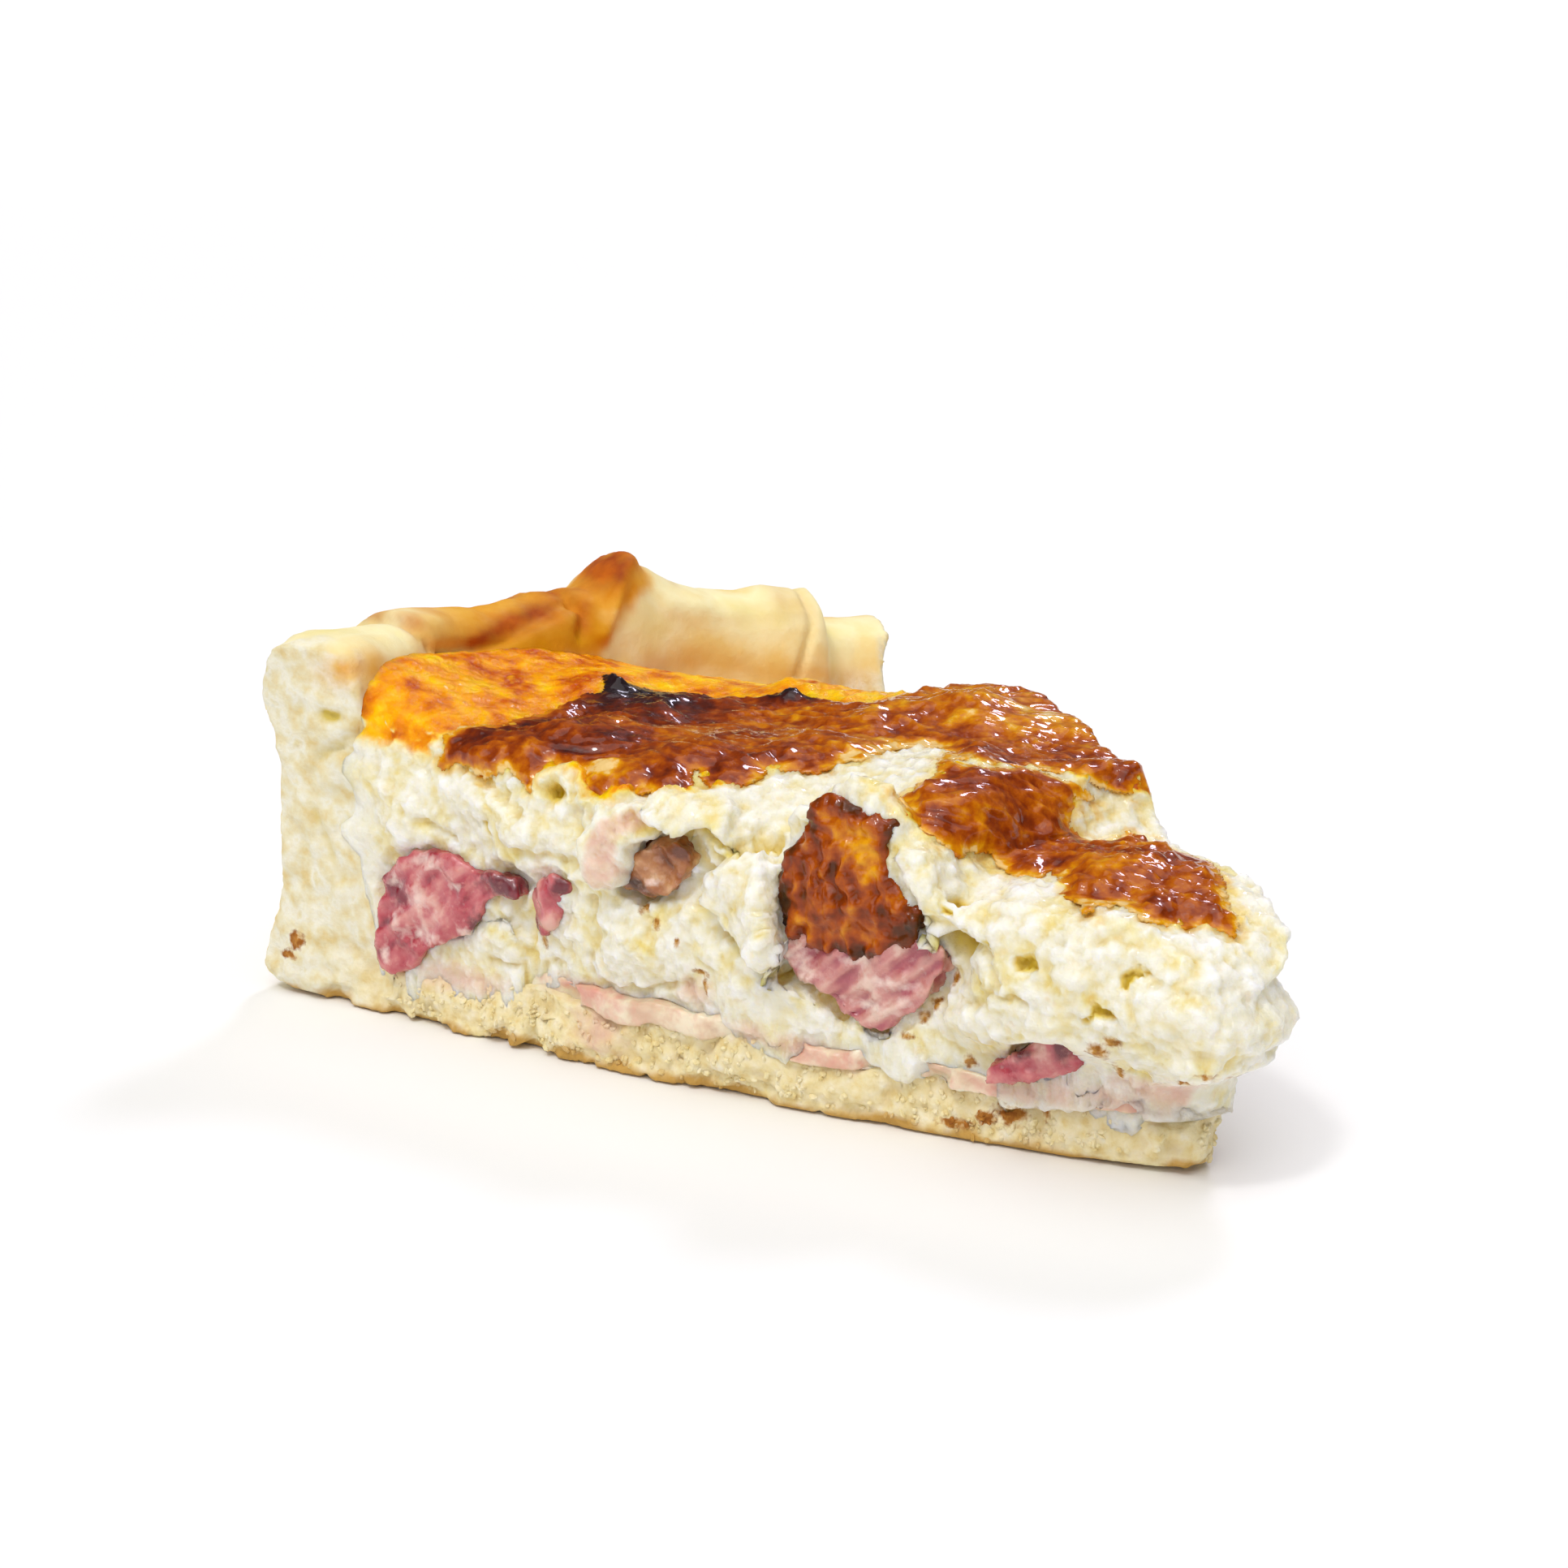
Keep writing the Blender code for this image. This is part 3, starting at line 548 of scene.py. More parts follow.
# %% Thinning what can't be seen
def thin_out(thing, keep, share):
    """Fewer and larger triangles where keep is zero, which is where nobody can look."""
    group = thing.vertex_groups.new(name="unseen")
    for index in np.nonzero(keep < 0.5)[0].tolist():
        group.add([index], 1.0, "REPLACE")
    fewer = thing.modifiers.new("fewer", "DECIMATE")
    fewer.ratio = share
    fewer.vertex_group = "unseen"
    bake(thing)
    thing.vertex_groups.clear()
    print(thing.name, "thinned to", len(thing.data.vertices), "vertices")


def custard_seen():
    points, normals = points_of(custard.data), normals_of(custard.data)
    reach = polar(points)[0]
    cut = np.minimum(*cut_depths(points))
    buried = ((reach > 101) & (normals[:, 2] < 0.25)) | (normals[:, 2] < -0.7)
    return np.where(buried & (cut > 2.5), 0.0, 1.0)


thin_out(custard, custard_seen(), share=0.72)

# %% [markdown]
# The lumps, pits, slabs and creases of the near face come from looking hard at one real slice. A slab is a
# sheet of curd that tore loose and stands proud with its own outline. A crease is the valley between two
# curds. The rest of the surface gets curds from the relief tree, and the far cut has only those.

# %% Lumps, pits, slabs and creases
# distance from the tip, height, half width, half height, depth (outwards is positive)
LUMPS = (
    (77.0, 29.5, 1.0, 1.1, -2.8), (84.0, 18.9, 3.0, 1.5, -0.9), (29.0, 20.8, 1.2, 1.5, -3.2),
    (60.4, 22.6, 1.5, 1.5, -0.6), (66.2, 20.6, 2.0, 0.7, -0.8), (109.2, 34.0, 1.5, 0.8, -1.5),
    (106.6, 29.9, 3.0, 0.5, -0.9), (113.4, 34.3, 1.0, 1.4, -0.7), (108.0, 22.0, 1.4, 3.0, -0.7),
    (84.6, 13.2, 3.0, 3.0, 1.3), (94.5, 11.6, 2.6, 1.1, 0.9), (67.2, 15.2, 4.6, 3.2, 1.2),
    (74.4, 16.0, 2.0, 4.4, 0.9), (60.0, 19.6, 2.8, 1.8, 1.1), (54.6, 12.4, 2.9, 2.3, 0.9),
    (57.1, 16.0, 2.4, 1.6, 0.8), (28.2, 13.6, 3.2, 2.4, 1.0), (23.3, 27.2, 3.6, 2.4, 0.7),
    (16.3, 20.6, 2.6, 2.4, 0.6), (5.7, 18.8, 3.4, 2.8, 0.8), (2.0, 26.2, 2.6, 2.4, 0.7),
    (-1.2, 16.8, 2.2, 2.2, 0.9), (98.4, 25.4, 3.0, 4.6, 0.8), (88.4, 27.4, 4.6, 2.0, 0.8),
    (80.7, 25.0, 4.2, 1.8, 0.8), (49.8, 10.2, 2.8, 1.2, 0.9), (47.6, 9.3, 1.2, 0.9, 0.7),
    (35.5, 27.0, 2.0, 4.0, 0.8), (41.0, 36.0, 4.0, 2.0, 0.8), (12.7, 14.2, 1.1, 1.1, 0.5),
    (31.9, 19.2, 1.5, 1.1, 2.4), (9.0, 29.5, 3.0, 2.0, 0.8), (16.0, 27.5, 3.0, 1.8, -0.5),
    (72.0, 26.5, 2.2, 2.8, 0.6),
)
# outlines of small sharp-cornered pits
PITS = (
    ((10.4, 22.3), (9.8, 23.2), (8.2, 23.1), (7.8, 22.7), (9.2, 22.3), (9.5, 20.9), (10.1, 21.1)),
    ((12.4, 19.6), (10.6, 18.1), (11.9, 17.9), (13.2, 17.6), (13.7, 16.9), (14.2, 17.2), (13.1, 18.3)),
    ((21.3, 22.2), (19.5, 22.3), (19.2, 21.2), (21.2, 21.1)),
    ((25.5, 23.3), (24.7, 23.3), (24.7, 22.4), (25.6, 22.5)),
    ((87.0, 24.9), (85.9, 25.1), (85.2, 24.4), (86.2, 24.0)),
    ((30.0, 25.8), (28.9, 25.6), (28.8, 24.8), (29.9, 24.7)),
)
# height, half height and depth of the notches and lobes that ring the tip
TIP_RINGS = ((20.8, 1.5, -1.7), (17.6, 1.4, 0.3), (13.9, 1.4, -1.4), (25.4, 2.6, 0.4))
SLABS = (
    (1.7, ((58.3, 21.2), (57.0, 24.6), (54.7, 26.7), (51.0, 27.4), (49.6, 25.0), (49.0, 22.0), (47.6, 18.7),
           (48.4, 16.5), (49.6, 15.2), (50.8, 15.9), (52.6, 17.7), (55.1, 18.9), (56.6, 20.4))),
    (1.3, ((65.5, 31.0), (64.3, 28.7), (61.9, 28.0), (58.9, 28.0), (56.2, 27.7), (55.4, 30.2), (57.6, 33.0),
           (62.0, 34.0))),
    (1.2, ((53.4, 31.0), (52.8, 32.4), (47.0, 32.4), (45.0, 31.6), (47.2, 29.4), (49.5, 27.6), (51.2, 27.8),
           (52.4, 29.0))),
    (1.1, ((79.5, 28.5), (74.0, 28.2), (69.5, 28.8), (66.5, 31.0), (68.5, 32.8), (76.0, 33.0),
           (80.5, 31.5))),
    (1.8, ((71.6, 21.2), (71.8, 24.4), (71.0, 27.4), (69.8, 29.4), (66.0, 30.6), (62.2, 30.2), (59.6, 28.8),
           (58.8, 27.2), (60.6, 27.7), (63.6, 27.3), (66.0, 26.2), (67.0, 24.6), (67.4, 22.8),
           (68.6, 20.8))),
)
# width, depth, then the places it runs through
CREASES = (
    (0.8, 0.7, (110.9, 28.8), (103.8, 33.0)), (0.8, 0.6, (111.9, 22.4), (110.3, 18.4), (108.6, 14.9)),
    (0.5, 1.8, (33.2, 22.4), (31.8, 20.9), (29.9, 21.1), (27.0, 21.9)),
    (0.7, 2.2, (55.6, 18.1), (53.1, 17.6), (51.2, 16.5), (49.8, 14.8), (46.9, 15.1), (45.0, 14.1),
     (41.7, 11.6)),
    (0.6, 1.2, (59.0, 21.0), (57.8, 23.4), (56.5, 25.8), (54.5, 27.0), (51.0, 27.6)),
    (0.5, 1.0, (53.8, 31.1), (52.8, 28.3), (50.7, 27.3)),
    (0.5, 1.1, (53.2, 32.7), (49.3, 32.9), (45.5, 34.3)),
    (0.6, 1.5, (66.0, 28.9), (64.9, 28.3), (61.9, 27.6), (58.9, 27.6), (56.0, 27.4), (53.6, 27.4)),
    (0.6, 0.9, (58.7, 27.6), (57.0, 25.5), (55.5, 24.4)),
    (0.6, 0.9, (59.9, 26.3), (58.2, 24.3), (57.8, 22.3)),
    (0.5, 0.7, (66.0, 20.1), (65.0, 19.0), (64.6, 16.4)),
    (0.6, 0.7, (71.8, 18.8), (71.5, 15.2), (72.7, 11.4)),
    (0.6, 1.0, (80.9, 18.2), (80.7, 14.6), (81.4, 10.8)), (0.6, 0.8, (86.8, 9.3), (82.3, 9.5), (76.8, 10.7)),
    (0.5, 0.7, (71.4, 10.3), (66.2, 10.3), (60.1, 11.8)),
    (0.6, 0.8, (31.9, 23.4), (28.4, 23.2), (24.9, 21.7)),
    (0.5, 0.7, (24.9, 21.7), (23.1, 19.1), (24.3, 18.0), (25.6, 16.6), (28.2, 15.7)),
    (0.4, 0.6, (23.9, 17.7), (19.6, 18.2)), (0.6, 0.4, (19.0, 24.7), (14.8, 24.5), (10.8, 25.9)),
    (0.6, 0.35, (7.4, 21.5), (2.6, 21.5), (-2.1, 22.5)), (0.4, 0.4, (24.1, 25.5), (20.7, 25.2)),
    (0.6, 0.35, (7.1, 15.4), (2.3, 15.2), (-2.3, 17.0)), (0.6, 0.7, (90.5, 30.3), (86.0, 29.6), (80.6, 27.2)),
    (0.5, 0.6, (95.4, 24.1), (90.8, 22.0)), (0.6, 0.8, (81.8, 23.0), (75.4, 22.8), (71.2, 22.0)),
    (0.6, 0.7, (75.0, 31.0), (73.6, 27.0), (72.6, 24.0)),
)

print("lumps", len(LUMPS), "pits", len(PITS), "slabs", len(SLABS), "creases", len(CREASES))

# %% [markdown]
# Colour changes on a cut too. Browned grains stick to it, ham juice tints it pink, the gaps under the ham get
# painted shade, and pale fat and painted wet highlights lie on the ham. Each blot is kept on the vertices as
# a number from 0 to 1, and the materials turn these numbers into colour.

# %% Blots of colour on the near face
# distance from the tip, height, half width, half height
SPECKS = (
    (28.1, 8.8, 0.8, 0.7), (12.7, 14.2, 1.1, 1.1), (11.2, 15.6, 0.9, 0.8), (11.9, 11.6, 0.5, 1.0),
    (63.8, 17.8, 0.5, 0.9), (61.2, 16.1, 0.4, 0.6), (58.3, 13.3, 1.2, 0.4), (57.8, 11.8, 0.4, 1.0),
    (31.7, 14.3, 0.7, 0.6), (33.0, 12.8, 0.7, 0.6), (29.8, 17.3, 0.5, 0.8), (4.6, 12.2, 0.7, 0.6),
    (2.2, 13.4, 0.8, 0.5), (79.5, 12.8, 0.5, 1.2), (30.2, 1.6, 2.0, 0.5), (26.8, 2.9, 1.1, 0.7),
    (24.0, 3.7, 1.6, 1.2), (20.8, 4.1, 0.6, 1.0), (115.2, 6.6, 1.1, 1.0), (116.4, 4.6, 1.3, 0.5),
    (65.3, 19.0, 0.6, 0.5), (34.6, 10.6, 0.9, 0.4), (0.2, 11.6, 1.8, 0.6), (12.0, 10.6, 0.5, 0.6),
)
PINKS = (
    (1.3, 9.8, 3.4, 1.3), (8.5, 9.8, 5.0, 1.1), (74.0, 8.2, 5.0, 1.1),
    (72.0, 4.4, 3.0, 2.4), (59.6, 10.8, 2.4, 1.3), (52.6, 8.0, 2.6, 1.1), (46.8, 7.2, 3.4, 1.2),
    (41.4, 6.6, 1.8, 1.1), (23.5, 6.4, 4.0, 1.0), (91.4, 6.4, 5.6, 1.6), (78.0, 19.5, 1.6, 2.4),
    (13.0, 7.4, 5.0, 1.4), (2.5, 10.2, 4.5, 1.4), (7.0, 8.6, 6.0, 2.0), (19.0, 7.0, 4.0, 1.4),
)
# a strip of nearly clear fat curls round the lardon
FAT_STRIP = [
    (70.7, 21.8), (70.9, 24.2), (70.2, 27.0), (69.3, 28.6), (65.9, 30.1), (62.9, 29.5), (64.9, 28.3),
    (66.9, 27.3), (67.2, 24.8), (66.9, 23.1), (68.2, 21.2), (69.4, 21.0),
]
# painted shade in gaps and hollows round the meat
PAINTED_SHADE_BLOTS = (
    (66.4, 21.6, 1.4, 0.7), (84.0, 18.7, 2.8, 1.5), (101.6, 17.2, 0.9, 1.0), (87.8, 13.0, 1.0, 2.0),
    (31.2, 14.0, 1.2, 2.2), (33.2, 12.2, 1.8, 0.9), (44.6, 12.6, 1.2, 0.8), (21.6, 11.7, 0.8, 0.7),
    (62.6, 19.6, 2.4, 0.8), (66.2, 17.4, 1.2, 1.2), (76.0, 19.8, 0.9, 1.4), (79.8, 13.4, 0.8, 1.4),
    (17.4, 12.6, 0.8, 1.4),
)
# pale fat, and painted wet highlights on the ham
PALE_FAT_AND_SHEEN = (
    (94.4, 19.7, 1.9, 0.8), (99.3, 16.6, 0.9, 0.9), (95.8, 15.2, 1.6, 1.0), (90.4, 17.5, 1.0, 0.5),
    (95.0, 11.0, 2.2, 0.9), (100.9, 7.6, 0.8, 0.8), (89.3, 11.8, 1.2, 1.2), (98.9, 12.0, 0.6, 1.2),
    (47.2, 17.4, 2.0, 1.1), (46.0, 15.4, 1.6, 1.1), (40.2, 17.7, 1.0, 0.6), (36.0, 16.2, 2.6, 0.5),
    (38.4, 13.2, 3.0, 0.5), (34.6, 14.4, 0.8, 0.6), (78.6, 21.8, 0.7, 1.0), (64.0, 22.3, 1.0, 0.5),
)
print("blots", len(SPECKS) + len(PINKS) + len(PAINTED_SHADE_BLOTS) + len(PALE_FAT_AND_SHEEN))

# %% [markdown]
# The thin ham on the base shows in some places only. In others curd and crumb were dragged over it by the
# knife and close the cut. The custard sags, the crumb rises and the ham draws back by the same measure, so
# they always meet.

# %% Where the ham layer shows
# distance from the tip along the near cut, how much of the ham layer shows there
LAYER_SHOWN = (
    (-5.0, 1.0), (10.0, 1.0), (13.0, 0.4), (24.0, 0.3), (26.5, 1.0), (31.0, 1.0), (33.5, 0.0), (37.0, 0.2),
    (39.5, 1.0), (47.0, 1.0), (49.5, 0.0), (54.5, 0.0), (58.0, 1.0), (75.0, 1.0), (78.0, 0.3), (83.0, 0.0),
    (90.0, 0.6), (95.0, 0.0), (120.0, 0.0),
)


def layer_shown(points):
    """How openly the ham layer lies in each cut, from 0 where curd and crumb close over it to 1."""
    wander = 2.5 * rough(points, 4.0, 2, 7.0)
    near_depth, far_depth = cut_depths(points)
    near = follow(LAYER_SHOWN, on_cut(points, NEAR)[0] + wander)
    far = ramp(-0.3, 0.3, rough(points, 9.0, 2, 3.0))
    return np.where(near_depth < far_depth, near, far)


def layer_wave(points):
    """How far the ham layer rises or falls here, which its neighbours follow."""
    return 0.8 * rough(points * np.array([1.0, 1.0, 0.0]), 9.0, 2, 6.0)


def blots(first, second, table):
    """One at the middle of each blot and a half at its edge, which the paint breaks up with noise."""
    total = np.zeros(len(first))
    for place, level, wide, tall in table:
        total = np.maximum(total, 2.0 ** -(((first - place) / wide) ** 2 + ((second - level) / tall) ** 2))
    return total


def mark_near_face(mesh):
    points = points_of(mesh)
    distance, depth = on_cut(points, NEAR)
    shown = ramp(4.0, 2.5, depth + belly(distance))
    remember(mesh, "speck", blots(distance, points[:, 2], SPECKS) * shown)
    strip = 0.9 * ramp(-0.8, 0.5, edge_distance(distance, points[:, 2], FAT_STRIP))
    remember(mesh, "pink", np.maximum(blots(distance, points[:, 2], PINKS), strip) * shown)
    # painted shade in the gaps round the meat
    remember(mesh, "dark", blots(distance, points[:, 2], PAINTED_SHADE_BLOTS) * shown)
    # pale fat and painted wet highlights
    remember(mesh, "pale", blots(distance, points[:, 2], PALE_FAT_AND_SHEEN) * shown)

# %% [markdown]
# Each chunk of meat has an outline in its cut. The pieces are made from these outlines further on, but the
# custard needs them first, because it has to lie deeper behind the meat.

# %% Outlines of the meat
def line_distance(first, second, line):
    """How far each pair of numbers is from a line through these places."""
    nearest = np.full(len(first), 1e9)
    for (ax, ay), (bx, by) in zip(line, line[1:]):
        dx, dy = bx - ax, by - ay
        share = np.clip(((first - ax) * dx + (second - ay) * dy) / (dx * dx + dy * dy), 0, 1)
        nearest = np.minimum(nearest, np.hypot(first - ax - share * dx, second - ay - share * dy))
    return nearest


# how far the piece stands out of the straight cut, and its outline: distance from the tip, height
MEAT_OUTLINES = {
    "ham_near_rim": (0.5, (
        (102.3, 5.9), (102.4, 8.6), (102.0, 12.2), (100.8, 16.7), (98.0, 19.2), (94.4, 20.7), (90.9, 20.8),
        (87.5, 19.5), (84.4, 19.8), (82.0, 19.1), (82.0, 17.6), (84.4, 17.4), (86.7, 16.2), (87.6, 13.8),
        (89.4, 11.8), (93.6, 10.4), (95.4, 8.8), (97.4, 7.0), (100.0, 5.6))),
    "browned_lardon": (0.7, (
        (68.1, 21.0), (66.8, 22.9), (66.2, 25.0), (63.7, 26.4), (61.4, 26.9), (59.9, 26.1), (59.5, 24.9),
        (60.8, 22.7), (62.2, 21.4), (65.0, 20.7))),
    "ham_near_middle": (0.7, (
        (48.3, 17.2), (46.9, 15.3), (44.6, 14.6), (42.7, 13.4), (41.4, 12.0), (39.9, 11.4), (38.6, 10.6),
        (37.2, 10.8), (35.4, 12.6), (33.5, 13.4), (32.4, 15.0), (31.6, 16.8), (30.6, 18.6), (30.4, 20.7),
        (34.0, 21.0), (41.0, 20.0), (47.4, 19.4))),
    "ham_near_tip": (1.3, (
        (25.2, 7.9), (25.1, 9.6), (22.4, 11.2), (20.4, 12.6), (17.6, 14.2), (16.9, 13.1), (15.9, 11.6),
        (18.6, 9.8), (22.8, 8.3))),
    "ham_far_rim": (0.6, (
        (96.2, 13.2), (93.6, 16.6), (90.2, 17.4), (87.6, 18.7), (83.6, 17.3), (79.0, 17.2), (75.3, 15.2),
        (77.6, 13.2), (83.0, 12.2), (87.2, 10.0), (92.0, 10.3), (93.8, 12.4))),
    "ham_far_middle": (0.6, (
        (60.7, 22.4), (58.6, 24.9), (55.4, 24.6), (51.6, 26.1), (49.4, 24.9), (46.6, 24.0), (45.4, 20.8),
        (48.6, 19.6), (50.4, 17.3), (55.0, 18.5), (59.2, 19.3))),
    "ham_far_tip": (0.6, (
        (36.2, 11.4), (34.6, 14.2), (31.0, 15.7), (27.6, 14.7), (21.8, 13.4), (23.2, 11.9), (27.0, 11.2),
        (31.4, 9.6))),
}

# %% [markdown]
# The tables now become a push for each point of the near face. A lump is a soft round bump, a pit or a slab
# is everything inside its outline, and a crease is a soft valley along its line. How deep a point lies in a
# crease is kept as well, because the paint makes hollows yellow and darker: painted shade.

# %% Push of the near face
def near_face_push(distance, height, wander):
    """How far the near face stands out at each place, and how deep in a crease or pit it is."""
    first, second = distance + wander[:, 0], height + wander[:, 1]
    push, hollow = np.zeros(len(first)), np.zeros(len(first))
    for place, level, wide, tall, deep in LUMPS:
        shape = np.exp(-(((first - place) / wide) ** 2) - ((second - level) / tall) ** 2)
        push += deep * shape
        hollow = np.maximum(hollow, shape * (deep < -1.0))
    for outline in PITS:
        shape = ramp(-0.25, 0.3, edge_distance(first, second, list(outline)))
        push -= 1.0 * shape
        hollow = np.maximum(hollow, 0.9 * shape)
    for proud, outline in SLABS:
        push += proud * ramp(-0.2, 0.9, edge_distance(first, second, list(outline)))
    for wide, deep, *line in CREASES:
        shape = bump(line_distance(first, second, line), wide)
        push -= deep * shape
        hollow = np.maximum(hollow, min(0.6, 0.5 * deep) * shape)
    return push, hollow


def push_and_hollow(points):
    """The push and the hollowness of all points of the custard, which are zero away from the near face."""
    near_face = ramp(4.5, 2.0, cut_depths(points)[0]) * ramp(4.0, 6.0, points[:, 2])
    picked = near_face > 0
    first, second = on_cut(points, NEAR)[0][picked], points[picked, 2]
    wander = np.column_stack([rough(points[picked], 2.4, 3, shift) for shift in (1.0, 8.0)]) * 0.35
    push, hollow = np.zeros(len(points)), np.zeros(len(points))
    push[picked], hollow[picked] = near_face_push(first, second, wander)
    # the custard lies deeper behind each piece of meat, so that no curd comes up through it
    for name, (_, outline) in MEAT_OUTLINES.items():
        if "near" in name or "lardon" in name:
            behind = ramp(0.3, 1.3, edge_distance(first, second, list(outline)))
            push[picked] = np.where(behind > 0, np.minimum(push[picked], 0.6) - 1.5 * behind, push[picked])
    return push * near_face, hollow * near_face

# %% [markdown]
# The CAD keeps a thin slit between the filling, the pastry and the ham layer, because solids may not touch
# there. A real filling lies tight against both. So it is moved out to the wall and down on the ham here.

# %% Closing the slits
def slits_shut(points, normals, reach):
    """How far the filling moves out to the wall, and how far it sags on the ham layer."""
    edge = np.minimum(*cut_depths(points))
    # at the cuts curd smears over the wall's edge, so that the two meet in a ragged line
    smeared = ramp(4.0, 2.0, edge) * ramp(11.0, 17.0, points[:, 2])
    smeared *= np.clip(1.0 + 1.5 * rough(points, 5.0, 3, 4.0), 0.2, 2.1)
    shut = (1.5 + 1.3 * smeared) * ramp(95.0, 102.0, reach)
    sag = np.zeros(len(points))
    low = (edge < 5.0) & (normals[:, 2] < 0.1) & (points[:, 2] < 15.0)
    closed = 1 - layer_shown(points[low])
    ragged = np.clip(rough(points[low], 4.0, 3, 5.0), -0.3, 1.0)
    sag[low] = 0.8 + 2.6 * closed + (0.4 + 0.8 * closed) * ragged
    sag[low] -= layer_wave(points[low])
    sag *= ramp(0.1, -0.5, normals[:, 2]) * ramp(5.0, 2.5, edge) * ramp(2.0, 14.0, reach)
    sag *= ramp(12.8, 11.0, points[:, 2])
    return shut, sag

# %% [markdown]
# Now the custard gets its shape. The face is pushed, the tip gets its notches, the slits close, and
# everything under the browned skin stays low and smooth. The relief tree adds the curds last.

# %% Custard relief
# the side of the tip that makes the outline in the photo view
TIP_OUTLINE_SIDE = np.array([0.62, 0.78, 0.0])


def custard_relief():
    mesh = custard.data
    points, normals = points_of(mesh), normals_of(mesh)
    reach = polar(points)[0]
    push, hollow = push_and_hollow(points)
    ring = sum(deep * bump(points[:, 2] - level, tall) for level, tall, deep in TIP_RINGS)
    push += ring * ramp(14.0, 8.0, reach) * ramp(0.2, 0.8, normals @ TIP_OUTLINE_SIDE)
    shut, sag = slits_shut(points, normals, reach)
    upper = points[:, 2] > 17.0
    under_skin = np.zeros(len(points))
    under_skin[upper] = ramp(0.4, 2.4, skin_distance(points[upper], normals[upper]))
    push = push * (1 - under_skin) - 0.45 * under_skin
    place = points + normals * push[:, None] + away_from_tip(points) * shut[:, None]
    place[:, 2] -= sag
    move(mesh, tucked(place, top=14.0, level=9.0, spare=0.9))
    remember(mesh, "hollow", hollow)
    shown = 1 - ramp(99.0, 103.0, reach) * (1 - ramp(0.3, 0.7, normals[:, 2]))
    shown *= ramp(-0.75, -0.45, normals[:, 2]) * (1 - 0.75 * under_skin)
    # the glazed top by the rim is smoother than the torn faces
    shown *= 1 - 0.6 * ramp(0.4, 0.8, normals[:, 2]) * ramp(66.0, 78.0, reach)
    add_relief(
        custard, shown, Lump_size=6.0, Lump_depth=0.55, Curd_size=1.9, Curd_depth=0.5, Grain_size=1.05,
        Grain_depth=0.6, Warp=2.0, Seed=3.0,
    )


custard_relief()

# %% [markdown]
# ## The browned skin
#
# The oven dries the top of the custard to a leathery skin that browns, blisters and tears when the slice is
# cut. It is its own thin sheet with a ragged edge: where it ends, pale custard shows beneath it.

# %% Skin sheet
SMALLEST_ISLAND = 60


def drop_islands(build):
    """Removes islands of few faces, which would be no more than loose crumbs of skin."""
    seen = set()
    for start in build.faces:
        if start in seen:
            continue
        island, stack = [], [start]
        seen.add(start)
        while stack:
            face = stack.pop()
            island.append(face)
            for other in [f for edge in face.edges for f in edge.link_faces if f not in seen]:
                seen.add(other)
                stack.append(other)
        if len(island) < SMALLEST_ISLAND:
            for face in island:
                face.tag = True
    bmesh.ops.delete(build, geom=[f for f in build.faces if f.tag], context="FACES")


def drop_pinched(build):
    """Removes corners where two parts touch in one vertex, because the edge could not be closed there."""
    for _ in range(3):
        pinched = [v for v in build.verts if sum(e.is_boundary for e in v.link_edges) > 2]
        if not pinched:
            break
        bmesh.ops.delete(build, geom=list({f for v in pinched for f in v.link_faces}), context="FACES")


def browned_sheet():
    solids = [nodes["custard_filling"].data] + plugs
    base = wrapped("browned_top", solids, voxel=0.36, rounds=18)
    mesh = base.data
    points, normals = points_of(mesh), normals_of(mesh)
    upper = points[:, 2] > 17.0
    inside = np.full(len(points), -9.0)
    inside[upper] = skin_distance(points[upper], normals[upper])
    build = bmesh.new()
    build.from_mesh(mesh)
    build.verts.ensure_lookup_table()
    inward = build.verts.layers.float.new("inside")
    for vertex in build.verts:
        vertex[inward] = inside[vertex.index]
    outer = [f for f in build.faces if sum(v[inward] for v in f.verts) <= 0]
    bmesh.ops.delete(build, geom=outer, context="FACES")
    drop_islands(build)
    drop_pinched(build)
    loose = [v for v in build.verts if not v.link_faces]
    bmesh.ops.delete(build, geom=loose, context="VERTS")
    sheet = bpy.data.meshes.new("browned_top")
    build.to_mesh(sheet)
    build.free()
    base.data = sheet
    sheet.shade_smooth()
    return base


skin = browned_sheet()
print("skin", len(skin.data.vertices))

# %% [markdown]
# A sheet with no thickness can't be a solid thing, so the cut-out surface becomes the outside, a copy a
# little deeper becomes the inside, and a ring of squares closes the ragged edge between them. The outside
# is lifted by wrinkles that run along the slice, as the skin shrank when it dried, and thins towards its
# torn edge.

# %% Skin thickness and wrinkles
# distance along, distance in, width, height
BURNT_PEAKS = (
    (89.4, 30.4, 5.0, -1.5), (88.4, 28.6, 1.5, 2.6), (87.0, 27.6, 1.2, 1.2), (68.5, 37.0, 5.0, -1.0),
    (68.8, 36.4, 2.4, 2.0),
)


def ridges(points, size, octaves, shift):
    """Sharp crests on a soft ground, about 0 to 1, as crumpled sheets have."""
    return np.array(
        [noise.ridged_multi_fractal(Vector(p), 1.0, 2.1, octaves, 1.0, 1.6) for p in points / size + shift]
    ) / 2.2


